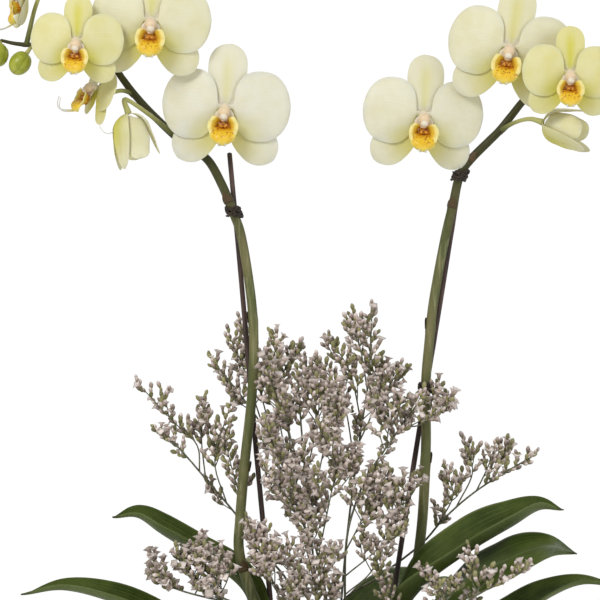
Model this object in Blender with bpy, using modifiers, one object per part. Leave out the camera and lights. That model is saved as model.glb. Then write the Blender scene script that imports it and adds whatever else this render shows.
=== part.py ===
"""Two moth orchids with sea lavender, growing in a glazed vase.

Units are metres, +Z is up and the origin is the centre of the vase's foot. The two flower spikes
lean apart along X, and their flowers face -Y. Neighbouring pieces keep a gap of about 0.3 mm.
"""

import math

import bmesh
import bpy
from mathutils import Euler, Matrix, Vector

OBJECT_NAME = "orchid_in_vase"
GAP = 0.0003
UP = Vector((0, 0, 1))

# Vase and what it holds
VASE_HEIGHT = 0.160
VASE_FOOT_RADIUS = 0.052
VASE_MOUTH_RADIUS = 0.080
VASE_WALL = 0.005
VASE_FLOOR = 0.008
VASE_SIDES = 24
VASE_RINGS = 5
VASE_BOWL_POWER = 0.9
VASE_FOOT_EDGE = 0.002
MEDIUM_TOP = 0.145
MEDIUM_SIDE_GAP = 0.0008
MEDIUM_HOLE_SIDES = 8
MEDIUM_HOLE_RISE = 0.020

# Orchid plants
CROWN_RADIUS = 0.009
CROWN_TOP = 0.186
CROWN_PLACES = {"left": (-0.030, 0.004), "right": (0.033, 0.004)}
CROWN_SIDES = 12
CROWN_RINGS = 5
LEAF_THICKNESS = 0.0016
LEAF_ROWS = 11
LEAF_NECK = 0.30
LEAF_SHOULDER = 0.37
LEAF_TAPER = 0.50
LEAF_POINT = 1.15
SPIKE_RADIUS = 0.0029
SPIKE_TIP_RADIUS = 0.0010
SPIKE_FOOT_SWELL = 0.0007
PEDICEL_RADIUS = 0.0015
PEDICEL_STRAIGHT = 0.010
BUD_RADIUS = 0.0071
BUD_STRETCH = 1.12

# Stakes and ties
STAKE_RADIUS = 0.0018
STAKE_FOOT_Z = 0.100
TIE_WIRE = 0.0011
TIE_HALF_WIDTH = 0.0054
TIE_HALF_DEPTH = 0.0085
TIE_POINTS = 14

# Flowers, for a bloom 84 mm across
SEPAL_THICKNESS = 0.0008
LAYER_STEP = 0.0016
HUB_RADIUS = 0.0026
# Each lobe's angle in degrees, its length, half its width, how far out it is widest, the share of
# its length that is a narrow claw, and how pointed its end is
SEPALS = (
    (90, 0.0430, 0.0134, 1.4, 0.00, 0.50),
    (228, 0.0490, 0.0138, 1.5, 0.00, 0.62),
    (312, 0.0490, 0.0138, 1.5, 0.00, 0.62),
)
PETALS = ((3, 0.0435, 0.0236, 0.92, 0.10, 0.50), (177, 0.0435, 0.0236, 0.92, 0.10, 0.50))
SEPAL_ROWS = 5
PETAL_ROWS = 6
LIP_LENGTH = 0.024
LIP_ROWS = 6
# The steepest a lobe of a hanging flower stands, in radians
GREATEST_BEND = 1.45
# A lip has its full size up to this curl, and is smaller inside a flower that bends more
LIP_FREE_CURL = 12.5
# Young flowers have small petals and a lip that is nearly grown: it follows this power of their size
LIP_GROWTH = 0.35
LIP_DEPTH = 0.0072
LIP_SIDE_WIDTH = 0.0098
LIP_MIDDLE_WIDTH = 0.0062
COLUMN_RADIUS = 0.0023
LIP_STAND_OFF = 0.012

# Sea lavender
SPRAY_STEM_RADIUS = 0.0010
SPRAY_BRANCH_RADIUS = 0.0007
SPRAY_FOOT_Z = 0.122

# Each blade's midrib from the crown to the tip, half its width, and how far its two halves
# rise from level, in degrees: first the half towards -Y, then the half towards +Y.
LEAVES = {
    "leaf_left_upper": (
        "left",
        ((-0.042, 0.009, 0.176), (-0.05, 0.012, 0.205), (-0.066, 0.013, 0.2215), (-0.085, 0.011, 0.233),
         (-0.108, 0.006, 0.248), (-0.124, 0.004, 0.2588), (-0.1405, 0.002, 0.2575)),
        0.017, 16, 56,
    ),
    "leaf_left_lower": (
        "left",
        ((-0.043, -0.002, 0.16), (-0.062, -0.005, 0.1665), (-0.0877, -0.012, 0.1781), (-0.1108, -0.018, 0.192),
         (-0.1398, -0.022, 0.2052), (-0.1715, -0.024, 0.213), (-0.199, -0.024, 0.2085)),
        0.0165, 18, 50,
    ),
    "leaf_left_back": (
        "left",
        ((-0.043, 0.013, 0.151), (-0.056, 0.037, 0.167), (-0.068, 0.064, 0.178), (-0.078, 0.092, 0.179),
         (-0.084, 0.112, 0.171)),
        0.026, 24, 24,
    ),
    "leaf_left_front": (
        "left",
        ((-0.03, -0.009, 0.152), (-0.038, -0.034, 0.166), (-0.048, -0.062, 0.173), (-0.057, -0.09, 0.169),
         (-0.062, -0.108, 0.16)),
        0.027, 24, 24,
    ),
    "leaf_right_upper": (
        "right",
        ((0.045, -0.003, 0.176), (0.053, -0.01, 0.2), (0.07, -0.016, 0.22), (0.0975, -0.016, 0.2396),
         (0.1215, -0.014, 0.2536), (0.1405, -0.012, 0.2646), (0.157, -0.012, 0.2634)),
        0.0215, 22, 60,
    ),
    "leaf_right_middle": (
        "right",
        ((0.044, -0.004, 0.158), (0.062, -0.018, 0.189), (0.0867, -0.032, 0.2159), (0.1108, -0.041, 0.2294),
         (0.1303, -0.046, 0.2385), (0.1467, -0.049, 0.2418), (0.1627, -0.05, 0.237)),
        0.031, -26, 26,
    ),
    "leaf_right_lower": (
        "right",
        ((0.046, 0.005, 0.152), (0.064, 0.005, 0.161), (0.094, 0.01, 0.176), (0.125, 0.016, 0.1905),
         (0.148, 0.02, 0.205), (0.172, 0.022, 0.2135), (0.199, 0.022, 0.21)),
        0.019, 8, 36,
    ),
    "leaf_right_back": (
        "right",
        ((0.024, 0.016, 0.154), (0.027, 0.036, 0.174), (0.04, 0.059, 0.192), (0.058, 0.081, 0.204),
         (0.077, 0.101, 0.207), (0.09, 0.114, 0.2)),
        0.025, 20, 36,
    ),
    "leaf_right_front": (
        "right",
        ((0.031, -0.009, 0.153), (0.028, -0.034, 0.168), (0.024, -0.064, 0.176), (0.021, -0.092, 0.172),
         (0.019, -0.11, 0.163)),
        0.026, 24, 24,
    ),
}

# Each spike from beside its crown to its tip
SPIKES = {
    "left": (
        (-0.0345, -0.0080, 0.1690), (-0.0420, -0.0110, 0.1930), (-0.0510, -0.0110, 0.2160),
        (-0.0565, -0.0080, 0.2360), (-0.0560, -0.0030, 0.2560), (-0.0528, 0.0030, 0.2950),
        (-0.0485, 0.0052, 0.3350), (-0.0470, 0.0046, 0.3680), (-0.0485, 0.0036, 0.4000),
        (-0.0548, 0.0020, 0.4410), (-0.0607, 0.0012, 0.4591), (-0.0680, 0.0004, 0.4770),
        (-0.0770, -0.0002, 0.4930), (-0.0880, -0.0004, 0.5010), (-0.0983, -0.0004, 0.5086),
        (-0.1155, -0.0004, 0.5251), (-0.1261, -0.0004, 0.5370), (-0.1340, -0.0004, 0.5475),
        (-0.1425, -0.0004, 0.5590), (-0.1550, -0.0004, 0.5672), (-0.1740, -0.0004, 0.5703),
        (-0.1930, -0.0004, 0.5694), (-0.2045, -0.0004, 0.5702), (-0.2140, -0.0004, 0.5724),
    ),
    "right": (
        (0.0412, 0.0135, 0.1700), (0.0500, 0.0110, 0.1920), (0.0590, 0.0070, 0.2160),
        (0.0632, 0.0060, 0.2430), (0.0655, 0.0066, 0.2700), (0.0670, 0.0076, 0.3080),
        (0.0667, 0.0074, 0.3430), (0.0692, 0.0064, 0.3750), (0.0720, 0.0050, 0.4010),
        (0.0792, 0.0030, 0.4410), (0.0845, 0.0015, 0.4640), (0.0891, 0.0003, 0.4835),
        (0.0960, -0.0002, 0.4936), (0.1076, -0.0004, 0.5053), (0.1148, -0.0004, 0.5125),
        (0.1228, -0.0004, 0.5224), (0.1313, -0.0004, 0.5330), (0.1406, -0.0004, 0.5416),
        (0.1525, -0.0004, 0.5488), (0.1670, -0.0004, 0.5541), (0.1789, -0.0004, 0.5581),
        (0.1894, -0.0004, 0.5614), (0.2013, -0.0004, 0.5640),
    ),
}

# Each stake's foot in the growing medium and its top, behind the spike
STAKES = {
    "left": ((-0.0270, 0.0200, STAKE_FOOT_Z), (-0.0632, 0.0064, 0.4980)),
    "right": ((0.0290, 0.0240, STAKE_FOOT_Z), (0.0904, 0.0058, 0.4890)),
}
TIES = {
    "tie_left": ("left", 0.4591),
    "tie_right_upper": ("right", 0.4830),
    "tie_right_lower": ("right", 0.3430),
}

# Hub, turn to the side, nod and roll in degrees, size, forward curl, and the height along the
# spike's route, as its point's number, where the flower's own stalk leaves.
WHITE, CREAM, YELLOW = (0.86, 0.84, 0.74), (0.85, 0.82, 0.58), (0.80, 0.76, 0.30)
FLOWERS = {
    "left_1": ("left", (-0.0652, -0.0200, 0.5274), -4, 4, 3, 0.98, -3.5, 12.6, WHITE),
    "left_2": ("left", (-0.1135, -0.0340, 0.5832), 2, 2, 3, 0.91, -3.5, 17.6, CREAM),
    "left_3": ("left", (-0.1612, -0.0430, 0.5695), -3, 2, 2, 0.70, -3.5, 19.0, YELLOW),
    "left_4": ("left", (-0.1965, -0.0050, 0.6050), -80, 8, 0, 0.62, 12.0, 21.3, CREAM),
    "left_5": ("left", (-0.1480, -0.0110, 0.5405), -68, -18, 18, 0.55, -4.0, 16.0, YELLOW),
    "left_6": ("left", (-0.1290, -0.0160, 0.5230), 100, 78, 0, 0.85, 44.0, 14.0, CREAM),
    "right_1": ("right", (0.0646, -0.0150, 0.5230), 4, 4, 4, 0.92, -3.5, 12.0, WHITE),
    "right_2": ("right", (0.1206, -0.0300, 0.5660), -4, 2, 10, 0.95, -3.5, 16.3, CREAM),
    "right_3": ("right", (0.1584, -0.0440, 0.5486), 2, 2, 2, 0.71, -3.5, 19.0, YELLOW),
    "right_4": ("right", (0.1431, -0.0180, 0.5174), 75, 14, 0, 0.80, 45.0, 14.0, CREAM),
}
BUDS = {
    "left_1": ("left", (-0.2010, -0.0030, 0.5572), 21.0, 1.00),
    "left_2": ("left", (-0.2155, -0.0020, 0.5628), 23.0, 0.97),
}

# Each spray: its foot in the medium, its main stem, and its branches. A branch gives how far
# along the main stem it starts, from 0 to 1, and the points that it runs through.
SPRAYS = {
    "spray_far_left": (
        (-0.010, 0.034),
        ((-0.012, 0.034, 0.180), (-0.024, 0.030, 0.212), (-0.042, 0.026, 0.234), (-0.059, 0.022, 0.258),
         (-0.074, 0.018, 0.276), (-0.097, 0.012, 0.303), (-0.110, 0.010, 0.313)),
        ((0.80, ((-0.085, 0.013, 0.305), (-0.100, 0.010, 0.320), (-0.122, 0.006, 0.344))),
         (0.78, ((-0.082, 0.020, 0.309), (-0.080, 0.022, 0.332))),
         (0.68, ((-0.073, 0.012, 0.295), (-0.063, 0.010, 0.330))),
         (0.52, ((-0.058, 0.016, 0.276), (-0.066, 0.014, 0.306)))),
    ),
    "spray_left": (
        (0.002, 0.026),
        ((0.001, 0.024, 0.203), (-0.012, 0.022, 0.256), (-0.029, 0.021, 0.297), (-0.051, 0.021, 0.331),
         (-0.074, 0.016, 0.360)),
        ((0.62, ((-0.034, 0.015, 0.345), (-0.032, 0.012, 0.376))),
         (0.76, ((-0.054, 0.022, 0.355), (-0.063, 0.018, 0.376))),
         (0.70, ((-0.046, 0.025, 0.350), (-0.056, 0.024, 0.384))),
         (0.56, ((-0.028, 0.022, 0.345), (-0.018, 0.020, 0.368)))),
    ),
    "spray_centre_left": (
        (-0.006, -0.002),
        ((-0.006, -0.002, 0.203), (-0.010, -0.004, 0.256), (-0.015, -0.006, 0.309), (-0.018, -0.006, 0.350)),
        ((0.64, ((-0.026, -0.010, 0.322), (-0.037, -0.012, 0.352))),
         (0.70, ((-0.004, -0.002, 0.330), (-0.008, 0.000, 0.354))),
         (0.60, ((0.000, -0.010, 0.306), (0.008, -0.012, 0.325))),
         (0.52, ((-0.026, -0.004, 0.286), (-0.036, -0.006, 0.308))),
         (0.45, ((-0.020, -0.014, 0.262), (-0.032, -0.018, 0.282))),
         (0.46, ((0.004, -0.012, 0.274), (0.010, -0.014, 0.296)))),
    ),
    "spray_centre_right": (
        (0.008, 0.012),
        ((0.011, 0.012, 0.203), (0.016, 0.010, 0.256), (0.023, 0.008, 0.309), (0.029, 0.008, 0.350),
         (0.031, 0.006, 0.393)),
        ((0.60, ((0.012, 0.004, 0.335), (-0.003, 0.002, 0.359))),
         (0.70, ((0.017, 0.012, 0.352), (0.005, 0.014, 0.373))),
         (0.80, ((0.023, 0.004, 0.370), (0.016, 0.000, 0.384))),
         (0.66, ((0.038, 0.010, 0.338), (0.052, 0.012, 0.352))),
         (0.76, ((0.038, 0.012, 0.345), (0.038, 0.014, 0.358)))),
    ),
    "spray_right": (
        (0.014, -0.014),
        ((0.013, -0.014, 0.203), (0.014, -0.013, 0.243), (0.021, -0.012, 0.270), (0.030, -0.010, 0.289),
         (0.046, -0.008, 0.312), (0.055, -0.006, 0.326)),
        ((0.80, ((0.042, -0.012, 0.320), (0.041, -0.014, 0.335))),
         (0.92, ((0.060, -0.006, 0.318), (0.072, -0.004, 0.324), (0.082, -0.002, 0.334))),
         (0.30, ((0.032, -0.018, 0.226), (0.042, -0.018, 0.262), (0.038, -0.018, 0.291))),
         (0.34, ((0.036, -0.022, 0.240), (0.050, -0.022, 0.262), (0.051, -0.022, 0.281))),
         (0.40, ((0.026, -0.016, 0.262), (0.030, -0.020, 0.286)))),
    ),
    "spray_far_right": (
        (0.006, 0.036),
        ((0.010, 0.035, 0.196), (0.036, 0.030, 0.216), (0.064, 0.025, 0.238), (0.078, 0.022, 0.254),
         (0.094, 0.018, 0.269), (0.112, 0.014, 0.282), (0.137, 0.010, 0.297)),
        ((0.58, ((0.085, 0.018, 0.270), (0.081, 0.016, 0.286))),
         (0.70, ((0.098, 0.016, 0.286), (0.093, 0.014, 0.304))),
         (0.80, ((0.108, 0.012, 0.290), (0.112, 0.010, 0.302))),
         (0.86, ((0.118, 0.014, 0.294), (0.120, 0.014, 0.303)))),
    ),
    "spray_low_left": (
        (-0.012, -0.026),
        ((-0.016, -0.028, 0.176), (-0.034, -0.032, 0.193), (-0.056, -0.034, 0.203), (-0.076, -0.034, 0.207),
         (-0.095, -0.032, 0.212), (-0.112, -0.030, 0.219)),
        ((0.78, ((-0.083, -0.032, 0.216), (-0.089, -0.032, 0.229))),
         (0.66, ((-0.068, -0.034, 0.215), (-0.073, -0.034, 0.226))),
         (0.34, ((-0.032, -0.028, 0.212), (-0.041, -0.026, 0.234), (-0.050, -0.022, 0.254))),
         (0.24, ((-0.018, -0.026, 0.210), (-0.024, -0.024, 0.240))),
         (0.16, ((-0.006, -0.026, 0.206), (0.002, -0.026, 0.236)))),
    ),
    "spray_low_right": (
        (0.054, -0.034),
        ((0.056, -0.040, 0.170), (0.064, -0.056, 0.188), (0.080, -0.076, 0.202), (0.102, -0.084, 0.216),
         (0.126, -0.084, 0.229)),
        ((0.60, ((0.076, -0.078, 0.212), (0.070, -0.078, 0.220))),
         (0.78, ((0.098, -0.084, 0.219), (0.096, -0.084, 0.228))),
         (0.10, ((0.046, -0.036, 0.196), (0.031, -0.034, 0.238)))),
    ),
}

MATERIALS = {
    "glaze_white": ((0.80, 0.79, 0.76), 0.22),
    "bark": ((0.16, 0.09, 0.05), 0.95),
    "leaf_green": ((0.075, 0.13, 0.035), 0.38),
    "stem_green": ((0.10, 0.12, 0.035), 0.55),
    "stake_brown": ((0.055, 0.035, 0.028), 0.80),
    "tie_brown": ((0.030, 0.020, 0.014), 0.85),
    "bud_green": ((0.42, 0.41, 0.06), 0.50),
    "lip_gold": ((0.80, 0.45, 0.06), 0.45),
    "lavender_stem": ((0.20, 0.18, 0.13), 0.75),
}
PETAL_ROUGHNESS = 0.60


# ---------------------------------------------------------------- scene and helpers


def clear_scene():
    for old in list(bpy.data.objects):
        bpy.data.objects.remove(old, do_unlink=True)


def new_collection(name):
    made = bpy.data.collections.new(name)
    bpy.context.scene.collection.children.link(made)
    return made


def new_material(name, colour, roughness):
    made = bpy.data.materials.new(name)
    made.use_nodes = True
    shader = made.node_tree.nodes["Principled BSDF"]
    shader.inputs["Base Color"].default_value = (*colour, 1)
    shader.inputs["Roughness"].default_value = roughness
    shader.inputs["Metallic"].default_value = 0
    return made


def add_object(name, data, collection, material=None):
    made = bpy.data.objects.new(name, data)
    collection.objects.link(made)
    if material:
        data.materials.clear()
        data.materials.append(material)
    return made


def from_bmesh(name, bm, collection, material=None, smooth=True):
    bmesh.ops.recalc_face_normals(bm, faces=bm.faces)
    mesh = bpy.data.meshes.new(name)
    bm.to_mesh(mesh)
    bm.free()
    if smooth:
        mesh.shade_smooth()
    return add_object(name, mesh, collection, material)


def as_cutter(obj):
    obj.hide_render = True
    obj.display_type = "WIRE"
    return obj


def smooth_route(points, steps):
    """Points along a Catmull-Rom curve: `steps` of them for each stretch between two points."""
    held = [Vector(p) for p in points]
    held = [held[0] * 2 - held[1], *held, held[-1] * 2 - held[-2]]
    route = []
    for i in range(1, len(held) - 2):
        a, b, c, d = held[i - 1 : i + 3]
        for step in range(steps):
            t = step / steps
            square = (2 * a - 5 * b + 4 * c - d) * t**2
            cube = (3 * b - a - 3 * c + d) * t**3
            route.append(0.5 * (2 * b + (c - a) * t + square + cube))
    return [*route, held[-2]]


def at_fraction(route, fraction):
    """The point that lies this fraction of the way along a route, counted in its points."""
    place = fraction * (len(route) - 1)
    low = min(int(place), len(route) - 2)
    return route[low].lerp(route[low + 1], place - low)


def tube(name, route, radii, collection, bevel_resolution=2, cyclic=False):
    """A closed round rod along a route, as a mesh. Its caps are welded on."""
    curve = bpy.data.curves.new(name, "CURVE")
    curve.dimensions = "3D"
    curve.bevel_depth = 1
    curve.bevel_resolution = bevel_resolution
    curve.use_fill_caps = not cyclic
    spline = curve.splines.new("POLY")
    spline.points.add(len(route) - 1)
    for point, place, radius in zip(spline.points, route, radii):
        point.co = (*place, 1)
        point.radius = radius
    spline.use_cyclic_u = cyclic
    guide = bpy.data.objects.new(name + "_guide", curve)
    collection.objects.link(guide)
    bpy.context.view_layer.update()
    mesh = bpy.data.meshes.new_from_object(guide.evaluated_get(bpy.context.evaluated_depsgraph_get()))
    bpy.data.objects.remove(guide, do_unlink=True)
    bm = bmesh.new()
    bm.from_mesh(mesh)
    bpy.data.meshes.remove(mesh)
    bmesh.ops.remove_doubles(bm, verts=bm.verts, dist=1e-6)
    return from_bmesh(name, bm, collection)


def tapered(count, first, last):
    return [first + (last - first) * i / (count - 1) for i in range(count)]


def settle(obj):
    """Applies the object's modifiers to its mesh."""
    bpy.context.view_layer.update()
    graph = bpy.context.evaluated_depsgraph_get()
    mesh = bpy.data.meshes.new_from_object(obj.evaluated_get(graph))
    obj.modifiers.clear()
    obj.data = mesh
    return obj


def united(pieces):
    """The pieces as one solid, kept under the first one's name."""
    body, *others = pieces
    for other in others:
        join = body.modifiers.new("join", "BOOLEAN")
        join.operation = "UNION"
        join.solver = "EXACT"
        join.object = other
    settle(body)
    for other in others:
        bpy.data.objects.remove(other, do_unlink=True)
    body.data.shade_smooth()
    return body


def solidified(obj, thickness, offset):
    shell = obj.modifiers.new("thickness", "SOLIDIFY")
    shell.thickness = thickness
    shell.offset = offset
    return obj


def turned(name, profile, collection, material, sides):
    """A solid of revolution round Z. The profile of (radius, height) runs down its outer side."""
    bm = bmesh.new()
    verts = [bm.verts.new((radius, 0, height)) for radius, height in profile]
    for first, second in zip(verts, verts[1:]):
        bm.edges.new((first, second))
    mesh = bpy.data.meshes.new(name)
    bm.to_mesh(mesh)
    bm.free()
    made = add_object(name, mesh, collection, material)
    screw = made.modifiers.new("turn", "SCREW")
    screw.steps = sides
    screw.render_steps = sides
    screw.use_merge_vertices = True
    screw.merge_threshold = 1e-5
    screw.use_smooth_shade = True
    return made


# ---------------------------------------------------------------- vase and growing medium


def vase_radius(height):
    """The outside radius: a bowl-sided vase that opens towards its mouth."""
    rise = max(0, min(1, height / VASE_HEIGHT))
    opening = math.sin(rise * math.pi / 2) ** VASE_BOWL_POWER
    return VASE_FOOT_RADIUS + (VASE_MOUTH_RADIUS - VASE_FOOT_RADIUS) * opening


def heights(low, high):
    return [low + (high - low) * i / VASE_RINGS for i in range(VASE_RINGS + 1)]


def make_vase(parts, material):
    lip = VASE_WALL / 2
    corner = 2 * VASE_FOOT_EDGE
    inner = [(vase_radius(z) - VASE_WALL, z) for z in heights(VASE_FLOOR + corner, VASE_HEIGHT - lip)]
    rim_centre = VASE_MOUTH_RADIUS - lip
    rim = [
        (rim_centre - lip * math.cos(a), VASE_HEIGHT - lip + lip * math.sin(a))
        for a in (math.pi * k / 4 for k in (1, 2, 3))
    ]
    outer = [(vase_radius(z), z) for z in reversed(heights(VASE_FOOT_EDGE, VASE_HEIGHT - lip))]
    floor = [(0, VASE_FLOOR), (inner[0][0] - corner, VASE_FLOOR)]
    foot = [(VASE_FOOT_RADIUS - VASE_FOOT_EDGE, 0), (0, 0)]
    turned("vase", [*floor, *inner, *rim, *outer, *foot], parts, material, VASE_SIDES)


def make_medium(parts, cutters, material, holes):
    low = VASE_FLOOR + 3 * VASE_FOOT_EDGE
    gap = VASE_WALL + MEDIUM_SIDE_GAP
    side = [(vase_radius(z) - gap, z) for z in reversed(heights(low, MEDIUM_TOP))]
    medium = turned("growing_medium", [(0, MEDIUM_TOP), *side, (0, low)], parts, material, VASE_SIDES)
    for number, (route, radius, depth) in enumerate(holes):
        bm = bmesh.new()
        top, foot = route
        axis = (top - foot).normalized()
        place = Matrix.Translation(foot - axis * GAP * 2) @ axis.to_track_quat("Z", "Y").to_matrix().to_4x4()
        middle = place @ Matrix.Translation((0, 0, depth / 2))
        round_hole = {"segments": MEDIUM_HOLE_SIDES, "radius1": radius, "radius2": radius, "depth": depth}
        bmesh.ops.create_cone(bm, cap_ends=True, matrix=middle, **round_hole)
        cutter = as_cutter(from_bmesh(f"hole_{number}", bm, cutters))
        cut = medium.modifiers.new(cutter.name, "BOOLEAN")
        cut.operation = "DIFFERENCE"
        cut.solver = "EXACT"
        cut.object = cutter
    return medium


# ---------------------------------------------------------------- orchid plants


def make_crown(side, parts, material):
    """The short, thick stem that the leaves and the spike grow from."""
    low = MEDIUM_TOP + GAP
    tall = CROWN_TOP - low
    shoulder = 0.55
    profile = [(0, CROWN_TOP)]
    for i in range(1, CROWN_RINGS + 1):
        angle = i / CROWN_RINGS * math.pi / 2
        height = low + tall * (shoulder + (1 - shoulder) * math.cos(angle))
        profile.append((CROWN_RADIUS * math.sin(angle), height))
    profile += [(CROWN_RADIUS * 0.92, low), (0, low)]
    crown = turned(f"crown_{side}", profile, parts, material, CROWN_SIDES)
    crown.location = (*CROWN_PLACES[side], 0)


def blade_width(t):
    """A leaf's half width at a fraction of its length, where 1 is its widest."""
    shoulder = min(1, LEAF_NECK + (1 - LEAF_NECK) * t / LEAF_SHOULDER)
    taper = min(1, (1 - t) / LEAF_TAPER)
    return max(0.02, shoulder * math.sin(taper * math.pi / 2) ** LEAF_POINT)


def make_leaf(name, route, half_width, near_rise, far_rise, parts, material):
    steps = smooth_route(route, 6)
    centre = [at_fraction(steps, i / (LEAF_ROWS - 1)) for i in range(LEAF_ROWS)]
    bm = bmesh.new()
    rows = []
    for i, place in enumerate(centre):
        t = i / (LEAF_ROWS - 1)
        heading = centre[min(i + 1, LEAF_ROWS - 1)] - centre[max(i - 1, 0)]
        far = UP.cross(heading).normalized()
        far = far if far.y > 0 else -far
        lift = UP - UP.project(heading)
        lift.normalize()
        width = half_width * blade_width(t)
        near_angle = math.radians(near_rise)
        far_angle = math.radians(far_rise)
        near_edge = place + (lift * math.sin(near_angle) - far * math.cos(near_angle)) * width
        far_edge = place + (lift * math.sin(far_angle) + far * math.cos(far_angle)) * width
        rows.append([bm.verts.new(p) for p in (near_edge, place, far_edge)])
    for row, after in zip(rows, rows[1:]):
        for j in range(2):
            bm.faces.new((row[j], row[j + 1], after[j + 1], after[j]))
    leaf = from_bmesh(name, bm, parts, material)
    solidified(leaf, LEAF_THICKNESS, 0)


def flower_turn(turn, nod, roll):
    return Euler((math.radians(nod), math.radians(roll), math.radians(turn))).to_matrix()


def spike_radii(count):
    """Thickest at the foot, almost even for most of the spike's length, then thin towards its tip."""
    radii = []
    for i in range(count):
        t = i / (count - 1)
        thinned = SPIKE_RADIUS + (SPIKE_TIP_RADIUS - SPIKE_RADIUS) * t**4
        radii.append(thinned + SPIKE_FOOT_SWELL * (1 - t) ** 2)
    return radii


def make_stalk(name, start, hub, back, size, parts):
    """A flower's own stalk: it leaves the spike and comes up to the flower from behind."""
    end = Vector(hub) + back * (SEPAL_THICKNESS + GAP) * 1.2
    behind = end + back * PEDICEL_STRAIGHT * (0.6 + 0.4 * size)
    middle = start.lerp(behind, 0.5) + UP * PEDICEL_RADIUS
    route = smooth_route((start, middle, behind, end), 2)
    return tube(name, route, tapered(len(route), PEDICEL_RADIUS * 1.25, PEDICEL_RADIUS), parts, 1)


def make_bud_stalk(name, start, centre, size, parts):
    towards = (Vector(centre) - start).normalized()
    end = Vector(centre) - towards * (BUD_RADIUS * BUD_STRETCH * size + GAP)
    route = [start, start.lerp(end, 0.5), end]
    return tube(name, route, tapered(len(route), PEDICEL_RADIUS, PEDICEL_RADIUS * 0.8), parts, 1)


def make_spike(side, parts, material):
    """The flower stem with the flowers' and buds' own stalks, grown as one piece."""
    route = [Vector(p) for p in SPIKES[side]]
    last = len(route) - 1
    pieces = [tube(f"spike_{side}", route, spike_radii(len(route)), parts)]
    for name, (owner, hub, turn, nod, roll, size, _curl, leaves_at, _colour) in FLOWERS.items():
        if owner == side:
            start = at_fraction(route, leaves_at / last)
            back = flower_turn(turn, nod, roll) @ Vector((0, 1, 0))
            pieces.append(make_stalk(f"stalk_{name}", start, hub, back, size, parts))
    for name, (owner, centre, leaves_at, size) in BUDS.items():
        if owner == side:
            start = at_fraction(route, leaves_at / last)
            pieces.append(make_bud_stalk(f"bud_stalk_{name}", start, centre, size, parts))
    spike = united(pieces)
    spike.data.materials.clear()
    spike.data.materials.append(material)


def make_bud(name, centre, size, toward, parts, material):
    bm = bmesh.new()
    long_way = (Vector(centre) - toward).normalized().to_track_quat("Z", "Y").to_matrix().to_4x4()
    bmesh.ops.create_uvsphere(bm, u_segments=10, v_segments=8, radius=BUD_RADIUS * size)
    bmesh.ops.scale(bm, vec=(1, 1, BUD_STRETCH), verts=bm.verts)
    bmesh.ops.transform(bm, matrix=long_way, verts=bm.verts)
    bud = from_bmesh(f"bud_{name}", bm, parts, material)
    bud.location = centre


# ---------------------------------------------------------------- flowers


def lobe_width(t, skew, claw, point):
    """A lobe's half width at a fraction of its length, where 1 is its widest, past its narrow claw."""
    out = max(0, t - claw) / (1 - claw)
    return (1 - abs(2 * out**skew - 1) ** 2.4) ** point


def bent(x, z, curl, layer):
    """Where a point of a flat flower lands once its lobes bend forward, on a layer in front of the hub.

    Every lobe leaves the hub on one arc, then runs straight from the greatest bend on. A layer
    lies square off that surface, so the layers of one flower never meet.
    """
    distance = math.hypot(x, z)
    rate = 2 * abs(curl)
    angle = min(rate * distance, GREATEST_BEND)
    straight = distance - angle / rate
    side = math.copysign(1, curl)
    out = math.sin(angle) / rate + straight * math.cos(angle) - side * layer * math.sin(angle)
    forward = side * ((1 - math.cos(angle)) / rate + straight * math.sin(angle)) + layer * math.cos(angle)
    scale = out / max(distance, 1e-9)
    return Vector((x * scale, -forward, z * scale))


def whorl(name, lobes, rows, size, curl, layer, parts, material):
    """Sepals or petals that share one hub, as an open sheet given thickness. The sheet faces -Y."""
    bm = bmesh.new()

    def point(x, z):
        return bm.verts.new(bent(x, z, curl, layer))

    hub = []
    for angle_deg, length, half_width, *outline in lobes:
        angle = math.radians(angle_deg)
        along = Vector((math.cos(angle), math.sin(angle)))
        across = Vector((along.y, -along.x))
        before = None
        for i in range(rows + 1):
            distance = HUB_RADIUS + (length - HUB_RADIUS) * i / rows
            out = min(0.995, distance / length)
            width = HUB_RADIUS * 0.8 if i == 0 else half_width * lobe_width(out, *outline)
            places = [(along * distance + across * width * k) * size for k in (1, 0, -1)]
            row = [point(p.x, p.y) for p in places]
            if before:
                for j in range(2):
                    bm.faces.new((before[j], before[j + 1], row[j + 1], row[j]))
            else:
                hub += row
            before = row
    hub.sort(key=lambda v: math.atan2(v.co.z, v.co.x))
    bm.faces.new(hub)
    made = from_bmesh(name, bm, parts, material)
    return solidified(made, SEPAL_THICKNESS, 0)


def bump(value, centre, spread):
    return math.exp(-(((value - centre) / spread) ** 2))


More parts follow.
